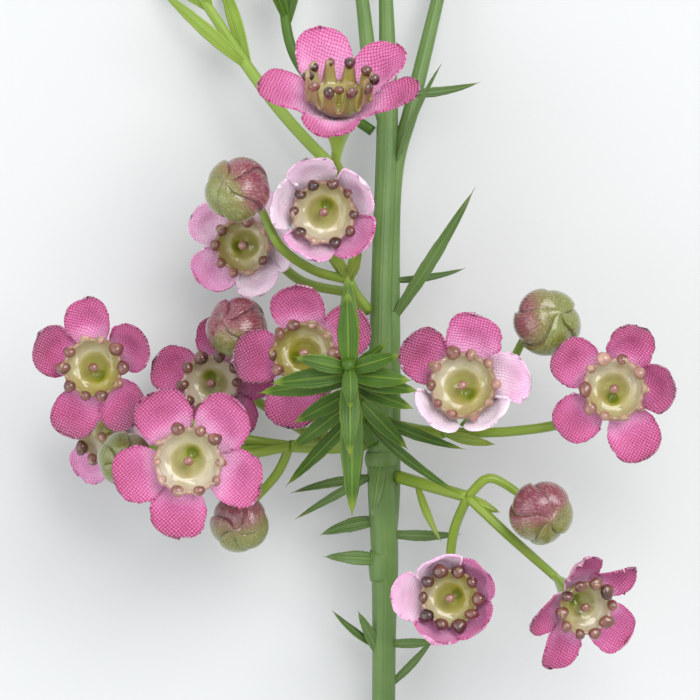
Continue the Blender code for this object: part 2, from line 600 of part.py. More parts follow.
# Leafy side shoots: name, route as seen, radius, leaf pairs, first turn, spread, colour
SHOOTS = [
    ("shoot_upper_left", [(3.05, 22.0, 11.1), (-7.5, 32.5, 9.6), (-14.3, 41.0, 8.2), (-31.0, 66.0, 3.6)], 0.9,
     [(0.05, 19.0, 2.2), (0.40, 15.0, 2.0), (0.74, 12.0, 1.8)], 45, 24, "young"),
    ("shoot_upper_mid", [(3.4, 32.8, 10.4), (-3.6, 38.0, 9.2), (-9.0, 46.0, 8.6), (-12.0, 76.0, 6.6)], 0.8,
     [(0.10, 17.0, 2.0), (0.44, 14.0, 1.9), (0.76, 11.0, 1.7)], 45, 22, "leaf"),
]


def front_shoot(collection):
    """The short shoot that points at the viewer, its pairs of leaves spread like a star."""
    stalk = tube("stalk", [seen(3.2, -13.6, 15.3), seen(2.0, -10.0, 20.5), seen(0.8, -6.0, 31.7),
                           seen(-0.3, -2.0, 43.0)], [1.2, 1.1, 1.0, 0.9], collection)
    growth = [leaf("leaf", Leaf(seen(*foot), seen(*tip), width, arch, roll), collection)
              for foot, tip, width, arch, roll in FRONT_LEAVES]
    return joined("shoot_front", stalk, growth, collection, material("leaf", PLASTIC_ROUGHNESS))


def twig_up(collection):
    """The twig with the two high pale blooms, the top bloom and the high bud."""
    root = [seen(2.5, 6.0, 14.3), seen(0.6, 8.5, 18.0)]
    node = seen(-0.2, 10.5, 20.0)
    twig = tube("twig", root + [node], [1.0, 0.95, 0.9], collection)
    growth = bloom_stalk(named(BLOOMS, "bloom_top"), [node, seen(1.6, 20.0, 20.0)], collection)
    growth += bloom_stalk(named(BLOOMS, "bloom_pale_high"), [node, seen(-3.0, 14.6, 19.0)], collection)
    growth += bud_stalk(named(BUDS, "bud_high"), [node, seen(-5.5, 12.0, 22.5), seen(-10.5, 15.6, 27.0)],
                        collection)
    growth += bloom_stalk(named(BLOOMS, "bloom_pale_left"), [seen(0.6, 8.5, 18.0), seen(-6.5, 10.0, 11.5),
                                                            seen(-10.5, 13.0, 8.6)], collection)
    growth.append(leaf("bract", Leaf(node, seen(-3.0, 15.8, 26.0), 1.6, 0.3, 0), collection))
    growth.append(leaf("bract", Leaf(node, seen(1.8, 15.0, 27.0), 1.6, 0.3, 0), collection))
    return joined("twig_up", twig, growth, collection, material("twig", PLASTIC_ROUGHNESS))


def twig_left(collection):
    """The twig that spreads to the left, with five blooms and three buds."""
    root = [seen(2.3, -14.0, 13.6), seen(-3.0, -14.6, 15.0), seen(-9.0, -14.4, 16.4)]
    twig = tube("twig", root, [1.05, 1.0, 0.95], collection)
    node = root[-1]
    growth = bloom_stalk(named(BLOOMS, "bloom_low_left"), [node, seen(-15.0, -15.6, 18.0)], collection)
    growth += bloom_stalk(named(BLOOMS, "bloom_far_left"), [node, seen(-17.0, -13.0, 16.0),
                                                           seen(-29.0, -9.0, 19.0)], collection)
    growth += bud_stalk(named(BUDS, "bud_low_left"), [node, seen(-11.0, -18.6, 14.5)], collection)
    growth += bud_stalk(named(BUDS, "bud_green_left"), [seen(-12.0, -14.4, 16.0), seen(-23.0, -15.6, 14.6)],
                        collection)
    growth += bloom_stalk(named(BLOOMS, "bloom_pale_back"), [seen(-12.0, -14.4, 16.0),
                                                            seen(-20.0, -16.0, 8.0)], collection)
    growth += bloom_stalk(named(BLOOMS, "bloom_behind_left"), [seen(-3.0, -14.6, 15.0),
                                                              seen(-11.0, -9.6, 6.4)], collection)
    growth += bud_stalk(named(BUDS, "bud_behind"), [seen(-3.0, -14.6, 15.0), seen(-8.6, -3.4, 12.0)],
                        collection)
    growth += bloom_stalk(named(BLOOMS, "bloom_middle"), [seen(-1.0, -14.2, 14.6), seen(-3.6, -8.0, 15.0)],
                          collection)
    return joined("twig_left", twig, growth, collection, material("twig", PLASTIC_ROUGHNESS))


def twig_right(collection):
    """The upper right twig, with two blooms and a bud."""
    root = [seen(7.2, -11.5, 12.9), seen(11.0, -12.2, 16.0), seen(14.0, -12.4, 18.0)]
    twig = tube("twig", root, [1.0, 0.95, 0.9], collection)
    node = root[-1]
    growth = bloom_stalk(named(BLOOMS, "bloom_right"), [node, seen(16.0, -9.0, 20.0)], collection)
    growth += bloom_stalk(named(BLOOMS, "bloom_far_right"), [node, seen(24.0, -12.2, 20.5),
                                                            seen(33.0, -10.6, 20.5)], collection)
    growth += bud_stalk(named(BUDS, "bud_right"), [seen(17.0, -11.6, 18.6), seen(22.5, -5.0, 19.0)],
                        collection)
    growth.append(leaf("bract", Leaf(node, seen(22.0, -14.2, 24.0), 1.9, 0.4, 20), collection))
    return joined("twig_right", twig, growth, collection, material("twig", PLASTIC_ROUGHNESS))


def twig_low(collection):
    """The lower right twig, with two blooms and a bud."""
    root = [seen(7.2, -19.0, 12.9), seen(12.0, -20.4, 17.0), seen(17.6, -22.0, 21.0)]
    twig = tube("twig", root, [1.0, 0.95, 0.9], collection)
    node = root[-1]
    growth = bloom_stalk(named(BLOOMS, "bloom_corner"), [node, seen(24.0, -28.0, 22.5)], collection)
    growth += bloom_stalk(named(BLOOMS, "bloom_low_right"), [node, seen(15.4, -28.0, 17.0)], collection)
    growth += bud_stalk(named(BUDS, "bud_low_right"), [node, seen(21.0, -19.2, 21.5)], collection)
    growth.append(leaf("bract", Leaf(seen(10.0, -20.0, 15.6), seen(13.8, -29.0, 19.0), 1.5, 0.6, 30),
                       collection))
    growth.append(leaf("bract", Leaf(node, seen(22.6, -24.4, 22.0), 1.7, 0.3, 20), collection))
    return joined("twig_low", twig, growth, collection, material("twig", PLASTIC_ROUGHNESS))


def rest_flat(solid):
    """Trims what lies under the table's top, which leaves a small flat spot to rest on."""
    form = bmesh.new()
    form.from_mesh(solid.data)
    everything = form.verts[:] + form.edges[:] + form.faces[:]
    bmesh.ops.bisect_plane(form, geom=everything, plane_co=(0, 0, 0), plane_no=(0, 0, 1), clear_inner=True)
    bmesh.ops.holes_fill(form, edges=[edge for edge in form.edges if edge.is_boundary])
    bmesh.ops.triangulate(form, faces=form.faces)
    face_outwards(form)
    form.to_mesh(solid.data)
    form.free()


def build():
    clear_scene()
    collection = bpy.data.collections.new("waxflower_stem")
    bpy.context.scene.collection.children.link(collection)
    main_stem(collection)
    for name, route, radius, pairs, turn, spread, tint in SHOOTS:
        shoot(name, route, radius, pairs, turn, spread, collection, tint)
    front_shoot(collection)
    twig_up(collection)
    twig_left(collection)
    twig_right(collection)
    twig_low(collection)
    for bloom in BLOOMS:
        origin, axes = bloom_seat(bloom)
        corolla(bloom, origin, axes, collection)
        cup(bloom, origin, axes, collection)
    for shape in BUDS:
        bud(shape, collection)
    for name in ("main_stem", "shoot_upper_left"):
        rest_flat(collection.objects[name])


build()
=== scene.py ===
# %% [markdown]
# A cut stem of artificial waxflower lies on a table, and the camera looks straight down on it.
# The real stem is a moulded green branch. Moulded twigs are pushed onto it, each twig ends in green
# calyxes, and each calyx carries a ring of woven petals under a glossy cup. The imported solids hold
# every piece at its real size and place. This script dresses them: each solid is replaced by a
# finer surface of the same form, worked out with numpy, and gets its finish from shader nodes.

import math

import bmesh
import bpy
import numpy as np
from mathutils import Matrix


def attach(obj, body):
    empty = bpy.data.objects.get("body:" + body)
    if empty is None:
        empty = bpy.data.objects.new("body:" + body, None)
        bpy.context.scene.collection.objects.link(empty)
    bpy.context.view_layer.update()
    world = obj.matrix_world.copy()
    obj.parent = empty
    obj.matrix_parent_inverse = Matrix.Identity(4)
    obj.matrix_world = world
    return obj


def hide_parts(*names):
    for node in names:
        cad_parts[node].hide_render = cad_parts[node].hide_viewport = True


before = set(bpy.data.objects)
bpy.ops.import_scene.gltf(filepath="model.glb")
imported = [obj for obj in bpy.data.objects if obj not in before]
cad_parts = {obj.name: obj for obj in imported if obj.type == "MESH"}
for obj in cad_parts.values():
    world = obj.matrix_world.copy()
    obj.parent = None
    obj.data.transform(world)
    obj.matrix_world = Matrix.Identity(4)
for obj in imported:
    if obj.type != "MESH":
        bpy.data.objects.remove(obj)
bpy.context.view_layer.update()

# %% [markdown]
# Everything is measured in millimetres until it goes into a mesh. The stem was laid out by looking
# straight down on it, so a piece that lies higher is nearer the eye and looks a little further out.
# A place is therefore written as it is seen at the height of the sharpest blooms, with its own
# height beside it, and one short function slides it along its sight line to that height.

# %% Sight lines
MM = 0.001
EYE_HEIGHT = 900.0                   # above the focus
FOCUS_HEIGHT = 25.0
VIEW_SIZE = 105.0                    # width and height of the view, at the focus
CENTRE = np.array([-0.6, 13.15])     # where the view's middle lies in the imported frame


def seen(points):
    """Slides points (x, y, z) along their sight lines: x and y grow as z sinks below the focus."""
    points = np.asarray(points, float)
    reach = (EYE_HEIGHT + FOCUS_HEIGHT - points[..., 2:]) / EYE_HEIGHT
    return np.concatenate([points[..., :2] * reach + CENTRE, points[..., 2:]], axis=-1)


def unit(vectors):
    """Vectors of length one, pointing the same way."""
    return vectors / np.linalg.norm(vectors, axis=-1, keepdims=True)


def axes_of(facing):
    """Rows across, along and normal: across is world X made square to the normal."""
    normal = unit(np.asarray(facing, float))
    across = unit(np.array([1.0, 0.0, 0.0]) - normal * normal[0])
    return np.stack([across, np.cross(normal, across), normal])


def smooth(x, low=0.0, high=1.0):
    """0 below low, 1 above high, and an S-curve between: 3t squared less 2t cubed."""
    t = np.clip((x - low) / (high - low), 0, 1)
    return t * t * (3 - 2 * t)


def around(count):
    """Angles at even steps round a full turn."""
    return np.linspace(0, 2 * math.pi, count, endpoint=False)


def places(x, y, z):
    """Points from their coordinates, which are first spread to one common grid."""
    return np.stack(np.broadcast_arrays(x, y, z), -1)


shift = seen((40.0, 0.0, 0.0))[0] - seen((40.0, 0.0, FOCUS_HEIGHT))[0]
print("a place 40 mm out lies", round(float(shift), 2), "mm further out on the table")

# %% [markdown]
# A surface on a grid of two parameters needs only its points: the faces follow from the grid. A
# sheet keeps four open edges, and a tube wraps one way and is closed at each end by a fan round a
# middle point. One object often holds many such patches, for instance a twig with its leaves, so a
# small collector stacks the arrays and numbers them on. It also keeps a few values for each point,
# which the materials read later, such as how far along a leaf the point lies.

# %% Collect surface patches into meshes
VALUES = ("along", "across", "tone", "turn")


def sheet_faces(rows, columns):
    """Four corner numbers for each cell of an open grid, in the turn that faces row times column."""
    first = (np.arange(rows - 1)[:, None] * columns + np.arange(columns - 1)).reshape(-1)
    return np.stack([first, first + columns, first + columns + 1, first + 1], axis=1)


def tube_faces(rows, columns):
    """The same, with the last column joined to the first."""
    row = np.arange(rows - 1)[:, None] * columns
    here = np.arange(columns)
    after = (here + 1) % columns
    cells = np.stack([row + here, row + columns + here, row + columns + after, row + after], axis=-1)
    return cells.reshape(-1, 4)


class Patches:
    """Patches of one piece, with their values, ready to become one mesh."""

    def __init__(self):
        self.points, self.quads, self.fans, self.count = [], [], [], 0
        self.values = {name: [] for name in VALUES}

    def add(self, points, quads, fans=(), **values):
        """Takes one patch. A value may be one number or one for each point."""
        flat = points.reshape(-1, 3)
        self.points.append(flat)
        self.quads.append(quads + self.count)
        if len(fans):
            self.fans.append(np.asarray(fans) + self.count)
        for name in VALUES:
            value = np.broadcast_to(values.get(name, 0.0), points.shape[:-1])
            self.values[name].append(value.reshape(-1))
        self.count += len(flat)

    def add_tube(self, rings, **values):
        """A closed tube from rings (rows, columns, 3), its ends fanned to their middles, facing out."""
        rows, columns = rings.shape[:2]
        ends = np.stack([rings[0].mean(axis=0), rings[-1].mean(axis=0)])
        points = np.concatenate([rings.reshape(-1, 3), ends])
        quads = tube_faces(rows, columns)
        here, after = np.arange(columns), (np.arange(columns) + 1) % columns
        last, start, end = (rows - 1) * columns, rows * columns, rows * columns + 1
        fans = np.concatenate([
            np.stack([np.full(columns, start), here, after], axis=1),
            np.stack([np.full(columns, end), last + after, last + here], axis=1)])
        corners = np.concatenate([quads[:, [0, 1, 2]], quads[:, [0, 2, 3]], fans])
        if np.linalg.det(points[corners] - points.mean(axis=0)).sum() < 0:
            quads, fans = quads[:, ::-1], fans[:, ::-1]
        spread = {}
        for name, value in values.items():
            value = np.broadcast_to(value, (rows, columns))
            ends = [value[0].mean(), value[-1].mean()]
            spread[name] = np.concatenate([value.reshape(-1), ends])
        self.add(points, quads, fans, **spread)

    def mesh(self, name):
        """All patches as one mesh in metres, with each value as a point attribute.

        No point stays below the table: a height under nothing becomes nothing."""
        made = bpy.data.meshes.new(name)
        points = np.concatenate(self.points) * MM
        points[:, 2] = np.maximum(points[:, 2], 0.0)
        faces = np.concatenate(self.quads).tolist()
        if self.fans:
            faces += np.concatenate(self.fans).tolist()
        made.from_pydata(points.tolist(), [], faces)
        for value in VALUES:
            layer = made.attributes.new(value, "FLOAT", "POINT")
            layer.data.foreach_set("value", np.concatenate(self.values[value]).astype(np.float32))
        made.shade_smooth()
        return made


def linked(name, data):
    """A new object of the scene that holds a mesh, a light or a camera."""
    made = bpy.data.objects.new(name, data)
    bpy.context.scene.collection.objects.link(made)
    return made


def show(name, mesh, materials, node):
    """Puts a mesh in the scene as the finer stand-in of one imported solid."""
    piece = linked(name, mesh)
    for material in materials:
        mesh.materials.append(material)
    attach(piece, "root")
    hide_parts(node)
    return piece


# %% [markdown]
# Shader nodes are the finish. Several materials share an effect: every cloth face needs the weave,
# and every moulded face has the same fine grain. Such an effect is a node group, built once, with
# inputs that each material fills in for itself. A few helpers keep the wiring short.

# %% Helpers for shader nodes
def add_node(tree, kind, inputs=(), **settings):
    """One node, its settings, and its inputs by name or number: a value, or a socket to link from."""
    made = tree.nodes.new(kind)
    for name, value in settings.items():
        setattr(made, name, value)
    for name, value in dict(inputs).items():
        if isinstance(value, bpy.types.NodeSocket):
            tree.links.new(value, made.inputs[name])
        else:
            made.inputs[name].default_value = value
    return made


def maths(tree, operation, first, second=0.0, third=0.0):
    """A Math node's result. MULTIPLY_ADD is first times second, plus third."""
    inputs = {0: first, 1: second, 2: third}
    return add_node(tree, "ShaderNodeMath", inputs, operation=operation).outputs[0]


def mixed(tree, share, first, second, blend="MIX"):
    """A blend of two colours: share 0 gives the first. MULTIPLY takes the second times the first."""
    inputs = {0: share, 6: first, 7: second}
    return add_node(tree, "ShaderNodeMix", inputs, data_type="RGBA", blend_type=blend).outputs[2]


def noise(tree, place, scale, detail):
    """Soft random clouds, about 1 / scale wide, each level of detail half as wide as the last."""
    return add_node(tree, "ShaderNodeTexNoise", {"Vector": place, "Scale": scale, "Detail": detail})


def between(tree, value, low, high, top=1.0, curve="LINEAR"):
    """0 at low and top at high, by a straight line or an S-curve, and level beyond them."""
    inputs = {"Value": value, "From Min": low, "From Max": high, "To Max": top}
    return add_node(tree, "ShaderNodeMapRange", inputs, interpolation_type=curve).outputs[0]


def ramp(tree, share, stops):
    """A colour read from stops (place, colour)."""
    made = add_node(tree, "ShaderNodeValToRGB", {0: share})
    bar = made.color_ramp
    while len(bar.elements) < len(stops):
        bar.elements.new(1.0)
    for element, (place, colour) in zip(bar.elements, stops):
        element.position, element.color = place, (*colour, 1)
    return made.outputs[0]


def value_of(tree, name):
    """A point value of the mesh, read by its name."""
    return add_node(tree, "ShaderNodeAttribute", attribute_name=name).outputs["Fac"]


def new_group(name, inputs, outputs):
    """An empty node group with its sockets. Returns the tree, its input node and its output node."""
    tree = bpy.data.node_groups.new(name, "ShaderNodeTree")
    for label, kind, value in inputs:
        socket = tree.interface.new_socket(label, in_out="INPUT", socket_type=kind)
        if value is not None:
            socket.default_value = value
    for label, kind in outputs:
        tree.interface.new_socket(label, in_out="OUTPUT", socket_type=kind)
    return tree, tree.nodes.new("NodeGroupInput"), tree.nodes.new("NodeGroupOutput")


def use_group(tree, group, inputs):
    """A group placed in a material, with its own values."""
    return add_node(tree, "ShaderNodeGroup", inputs, node_tree=group)


def new_material(name, **sockets):
    """A material with a Principled shader whose plain sockets are set directly."""
    made = bpy.data.materials.new(name)
    made.use_nodes = True
    shader = made.node_tree.nodes["Principled BSDF"]
    for label, value in sockets.items():
        shader.inputs[label.replace("_", " ")].default_value = value
    return made, made.node_tree, shader


def wire_up(tree, shader, colour, height, distance):
    """Gives the shader its colour, and a normal from a height that is distance millimetres tall."""
    tree.links.new(colour, shader.inputs["Base Color"])
    inputs = {"Strength": 1.0, "Distance": distance * MM, "Height": height}
    tree.links.new(add_node(tree, "ShaderNodeBump", inputs).outputs[0], shader.inputs["Normal"])


# %% [markdown]
# The petals are plain-woven cloth: threads run two ways, each passing over and under the others in
# turn. A pattern could be drawn from images, but it would blur in close views. Here a thread is the
# hump of a sine across it, and the sign of the two sines' product says which thread is on top.
# The coordinates are those of the flat cloth before it was pressed, kept in a UV map, so that the
# threads bend with the petals and run the same way through all five, as in one die-cut ring.

# %% The weave
PITCH = 0.40                         # from one thread to the next, in millimetres
FUZZ = 0.35                          # how uneven the threads' fibres are


def weave_group():
    """Threads each way are humps, |sin| to the power 0.7, and the sign of sin times sin picks one.

    Where both humps are high they add a little, which rounds the crossings. Shade follows height, and the
    cloth uses it for painted shade between the threads and a painted highlight on them."""
    tree, given, out = new_group(
        "woven threads",
        [("Flat", "NodeSocketVector", None), ("Pitch", "NodeSocketFloat", PITCH),
         ("Fuzz", "NodeSocketFloat", FUZZ)],
        [("Height", "NodeSocketFloat"), ("Shade", "NodeSocketFloat")])
    flat = given.outputs["Flat"]
    wobble = {0: noise(tree, flat, 0.9, 2.0).outputs["Color"], 1: (0.5, 0.5, 0.0)}
    bent = add_node(tree, "ShaderNodeVectorMath", wobble, operation="MULTIPLY").outputs[0]
    moved = add_node(tree, "ShaderNodeVectorMath", {0: flat, 1: bent}, operation="ADD").outputs[0]
    split = add_node(tree, "ShaderNodeSeparateXYZ", {0: moved})
    half_turn = maths(tree, "DIVIDE", math.pi, given.outputs["Pitch"])
    waves = [maths(tree, "SINE", maths(tree, "MULTIPLY", split.outputs[axis], half_turn))
             for axis in (0, 1)]
    humps = [maths(tree, "POWER", maths(tree, "ABSOLUTE", wave), 0.7) for wave in waves]
    over = maths(tree, "MULTIPLY", waves[0], waves[1])
    top = between(tree, over, -0.15, 0.15, curve="SMOOTHSTEP")
    crossed = maths(tree, "MULTIPLY", humps[0], humps[1])
    chosen = {0: top, 2: humps[0], 3: humps[1]}
    height = add_node(tree, "ShaderNodeMix", chosen, data_type="FLOAT").outputs[0]
    height = maths(tree, "MULTIPLY_ADD", crossed, 0.6, height)
    fibre = maths(tree, "SUBTRACT", noise(tree, flat, 14.0, 3.0).outputs["Fac"], 0.5)
    total = maths(tree, "ADD", height, maths(tree, "MULTIPLY", fibre, given.outputs["Fuzz"]))
    tree.links.new(total, out.inputs["Height"])
    tree.links.new(between(tree, total, 0.30, 1.50), out.inputs["Shade"])
    return tree


def grain_group():
    """Fine unevenness of moulded plastic, on Object coordinates: ripples 1 mm wide, patches 5 mm."""
    tree, given, out = new_group(
        "moulded grain", [("Scale", "NodeSocketFloat", 1.0)],
        [("Height", "NodeSocketFloat"), ("Mottle", "NodeSocketFloat")])
    inputs = {0: add_node(tree, "ShaderNodeTexCoord").outputs["Object"], "Scale": given.outputs["Scale"]}
    place = add_node(tree, "ShaderNodeVectorMath", inputs, operation="SCALE").outputs[0]
    tree.links.new(noise(tree, place, 900.0, 3.0).outputs["Fac"], out.inputs["Height"])
    tree.links.new(noise(tree, place, 210.0, 2.0).outputs["Fac"], out.inputs["Mottle"])
    return tree


WEAVE = weave_group()
GRAIN = grain_group()
print("node groups:", [group.name for group in (WEAVE, GRAIN)])

# %% [markdown]
# The cloth is dyed, deep pink at the tips and edges and paler towards the foot, and some petals are
# nearly white. Each point of a petal carries one number, its tone, and a colour ramp turns that
# number into dye, so that twelve blooms share three materials: the face, the satin underside, and
# the cut edge, where frayed ends take the darkest dye. The tone also carries a little painted shade in each
# pressed dimple.

# %% Cloth materials
DYE = [(0.0, (1.0, 0.89, 0.97)), (0.22, (0.88, 0.44, 0.69)), (0.45, (0.62, 0.11, 0.34)),
       (0.70, (0.45, 0.012, 0.165)), (1.0, (0.24, 0.001, 0.07))]     # from nearly white to magenta


def cloth(name, lighten, tone_shift, roughness):
    """Woven cloth: the tone plus soft blotches picks the dye, with painted shade between the threads and
    painted highlights on them.
    """
    made, tree, shader = new_material(
        name, Roughness=roughness, Sheen_Weight=0.04, Sheen_Roughness=0.4, Specular_IOR_Level=0.14,
        Subsurface_Weight=0.25, Subsurface_Scale=1.2 * MM, Subsurface_Radius=(1.0, 0.7, 0.85))
    flat = add_node(tree, "ShaderNodeUVMap", uv_map="flat").outputs[0]
    threads = add_node(tree, "ShaderNodeVectorRotate", {"Vector": flat, "Angle": value_of(tree, "along")},
                       rotation_type="Z_AXIS").outputs[0]
    weave = use_group(tree, WEAVE, {"Flat": threads, "Pitch": PITCH, "Fuzz": FUZZ})
    blotch = noise(tree, flat, 0.35, 3.0).outputs["Fac"]
    uneven = maths(tree, "MULTIPLY_ADD", blotch, 0.20, tone_shift - 0.10)
    dye = ramp(tree, maths(tree, "ADD", value_of(tree, "tone"), uneven), DYE)
    pale = mixed(tree, lighten, dye, (0.90, 0.78, 0.85, 1))
    # Painted light: the dye times itself is painted shade in the gaps between threads, and a pale pink is a
    # painted highlight on the threads.
    gap = mixed(tree, 0.62, pale, pale, "MULTIPLY")
    thread = mixed(tree, 0.22, pale, (1.0, 0.72, 0.92, 1))
    wire_up(tree, shader, mixed(tree, weave.outputs["Shade"], gap, thread), weave.outputs["Height"], 0.08)
    return made


CLOTH = [cloth("dyed_cloth_face", 0.0, 0.0, 0.75), cloth("dyed_cloth_underside", 0.35, -0.08, 0.55),
         cloth("dyed_cloth_cut_edge", 0.0, 0.02, 0.9)]
print("cloth:", [material.name for material in CLOTH])

# %% [markdown]
# Each bloom faces its own way, and each of its petals has its own slope, twist, width and dye. The
# table holds those as a gardener would note them: azimuth round the bloom, slope half way out and
# at the tip, how far the sides lift, and the dye, 0 for nearly white and 1 for the deepest magenta.
# Some rows go on with the twist in degrees and the two shares of full width and length. A loop of
# random numbers could give each bloom its own look too, but it wouldn't follow a real arrangement.

# %% The blooms
PETAL = ("azimuth", "mid", "tip", "cup", "dye", "twist", "width", "length")
PLAIN_PETAL = (0, 1.0, 1.0)          # the last three, for a row that leaves them out


def bloom(place, facing, petals, size, tint, cream, pit, weave, missing=()):
    """A bloom with every value by its name, and so are its petals' values.

    cream is how milky the cup is, pit is where its pit lies and weave how the threads run, both in
    degrees, and missing lists the teeth that carry only a small bead."""
    rows = [dict(zip(PETAL, row + PLAIN_PETAL[len(row) - 5:])) for row in petals]
    return dict(place=place, facing=facing, petals=rows, size=size, tint=tint, cream=cream, pit=pit,
                weave=weave, missing=missing)


BLOOMS = {
    "bloom_top": bloom((-1.6, 39.6, 36), (0.03, 0.86, 0.52), [
        (105, 44, 54, 0.05, 0.38, 0, 1.0, 1.28), (45, 42, 46, 0.05, 0.46, 0, 1.0, 1.22),
        (-14, 30, 32, 0.1, 0.62, 12, 0.85, 1.16), (-98, 14, 8, 0.1, 0.52),
        (178, 26, 22, 0.07, 0.52, -10, 1.1, 1.08)], 1.08, "rose", 0.0, 0, 10),
    "bloom_pale_high": bloom((-3.9, 20.6, 31), (0.1, -0.06, 1.0), [
        (168, 50, 62, 0.07, 0.04), (104, 48, 60, 0.07, 0.08), (30, 54, 74, 0.07, 0.1),
        (-40, 50, 64, 0.07, 0.36), (-110, 58, 76, 0.07, 0.18)], 1.0, "blush", 0.55, 60, 40, (7,)),
    "bloom_pale_left": bloom((-16.2, 15.6, 18), (-0.25, -0.15, 1.0), [
        (150, 34, 34, 0.07, 0.16), (222, 34, 34, 0.07, 0.24), (-66, 46, 52, 0.07, 0.06),
        (4, 40, 50, 0.07, 0.04), (76, 22, 14, 0.07, 0.1)], 0.9, "blush", 0.35, 200, 20, (0, 1, 8)),
    "bloom_far_left": bloom((-38.6, -2.6, 33), (-0.1, 0.05, 1.0), [
        (160, 30, 26, 0.07, 0.76), (96, 30, 30, 0.07, 0.54, 0, 0.88, 1.12),
        (30, 40, 50, 0.08, 0.62, 0, 1.0, 1.1), (-52, 14, -4, 0.06, 0.86, 14),
        (-116, 14, 0, 0.06, 0.74, 0, 0.95, 1.08)], 0.94, "magenta", 0.25, 300, 25, (2, 3)),
    "bloom_behind_left": bloom((-21.0, -5.0, 14.6), (-0.22, 0.0, 1.0), [
        (158, 20, 6, 0.06, 0.68), (232, 22, 12, 0.06, 0.6), (-54, 26, 22, 0.06, 0.6),
        (10, 26, 22, 0.06, 0.62), (84, 12, -6, 0.06, 0.7, 0, 0.9)], 0.92, "magenta", 0.95, 120, 70),
    "bloom_low_left": bloom((-24.2, -16.7, 34), (0.06, 0.0, 1.0), [
        (122, 20, 6, 0.05, 0.6), (48, 20, 8, 0.06, 0.5), (-20, 16, 4, 0.06, 0.5),
        (-98, 16, 2, 0.06, 0.62), (194, 18, 6, 0.06, 0.58)], 1.06, "rose", 0.85, 60, 45, (4, 5, 6)),
    "bloom_pale_back": bloom((-37.6, -13.2, 12.4), (-0.58, -0.25, 0.79), [
        (236, 24, 14, 0.06, 0.26), (164, 24, 14, 0.06, 0.18), (92, 24, 14, 0.06, 0.18),
        (20, 16, 4, 0.06, 0.2), (-52, 24, 14, 0.06, 0.28)], 0.86, "blush", 0.5, 90, 0),
    "bloom_middle": bloom((-7.0, -0.4, 27), (-0.12, 0.1, 1.0), [
        (183, 22, 10, 0.07, 0.78), (94, 28, 30, 0.07, 0.58), (26, 22, 14, 0.06, 0.7),
        (259, 18, 4, 0.06, 0.62, 0, 1.0, 1.05),
        (-40, 56, 62, 0.06, 0.6, 0, 0.9, 0.85)], 1.0, "magenta", 0.1, 200, 60, (1, 2)),
    "bloom_right": bloom((16.9, -5.2, 33), (0.0, 0.14, 1.0), [
        (146, 30, 26, 0.07, 0.74, 0, 0.95), (78, 30, 24, 0.07, 0.44), (10, 40, 36, 0.07, 0.13),
        (-48, 58, 70, 0.07, 0.02), (228, 56, 70, 0.07, 0.04)], 1.05, "pink", 0.45, 315, 15, (9,)),
    "bloom_far_right": bloom((39.7, -5.8, 33), (0.05, 0.05, 1.0), [
        (144, 24, 16, 0.07, 0.66, 0, 0.95), (68, 30, 26, 0.08, 0.66, 16, 0.9),
        (2, 44, 46, 0.08, 0.7, 0, 0.95), (-62, 16, 4, 0.06, 0.6, 0, 1.0, 1.08),
        (222, 22, 12, 0.07, 0.62, 0, 0.92)], 0.98, "magenta", 0.55, 270, 30, (0, 8)),
    "bloom_low_right": bloom((15.0, -37.2, 27), (0.0, 0.06, 1.0), [
        (112, 56, 88, 0.08, 0.1), (182, 38, 42, 0.08, 0.14), (246, 52, 66, 0.08, 0.34),
        (-40, 56, 76, 0.08, 0.42), (34, 56, 76, 0.08, 0.36)], 0.92, "blush", 0.25, 30, 50),
    "bloom_corner": bloom((35.6, -38.9, 33), (0.34, -0.34, 0.88), [
        (96, 40, 44, 0.11, 0.62, 18, 0.8), (30, 26, 18, 0.1, 0.62, 30, 0.8),
        (-42, 20, 4, 0.05, 0.52, 0, 1.0, 1.05), (-114, 14, -4, 0.08, 0.62, -12, 0.85, 1.15),
        (190, 34, 30, 0.1, 0.66, -22, 0.8)], 0.9, "magenta", 0.4, 150, 35),
}
GAP = 0.3                            # between two pieces that touch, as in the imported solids
SOLID_CLOTH = 0.6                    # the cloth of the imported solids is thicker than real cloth
CUP_HEIGHT = 4.0


def calyx_seat(one):
    """The middle of the calyx's flat top, and the bloom's axes: the rim's middle less the height."""
    axes = axes_of(one["facing"])
    return seen(one["place"]) - axes[2] * (2 * GAP + SOLID_CLOTH + CUP_HEIGHT), axes


def cup_seat(one):
    """The middle of the cup's foot: above the calyx, the cloth and a gap on each side of the cloth."""
    origin, axes = calyx_seat(one)
    return origin + axes[2] * (2 * GAP + SOLID_CLOTH), axes


print("blooms:", len(BLOOMS), "petals:", sum(len(one["petals"]) for one in BLOOMS.values()))

# %% [markdown]
# A petal was stamped flat and pressed between warm moulds, so it is a strip that bends along its
# middle line and carries a shallow oval dimple. The middle line comes from its slope: adding up
# small steps of cosine and sine of the slope gives how far out and how high each point lies. The
# half width grows from the narrow foot to the belly, and closes in a round tip. All five petals are
# grids of the same function, and they meet in the ring that the calyx and the cup clamp.

# %% Petals
HOLE_R = 1.2
RING_R = 2.6
PETAL_LENGTH = 8.6
PETAL_HALF_WIDTH = 3.9
BELLY = 0.55                         # the share of its length where a petal is widest
FIRST_SLOPE = 30                     # degrees, where it leaves the ring
BEND = 0.35                          # the share of its length over which it takes its own slope
STEPS = 96                           # of the sum along its middle line
CLOTH_THICKNESS = 0.34
CLEARANCE = 0.2                      # kept from the middle line between two petals
FRAY = 0.055                         # how far the points of a cut edge stray
LEAN = 0.12                          # how much wider one side may be, as a share
SWAY = 0.6                           # how far a tip may stray to one side
EDGE_WAVE = 0.22                     # heights of the two waves
FACE_WAVE = 0.14
DIMPLE = 0.62                        # depth of the pressed oval, then its middle and half sizes
DIMPLE_V, DIMPLE_WIDE, DIMPLE_LONG = 0.56, 0.74, 0.30
WELD = 0.012                         # points nearer than this become one
ROWS, COLUMNS = 34, 25


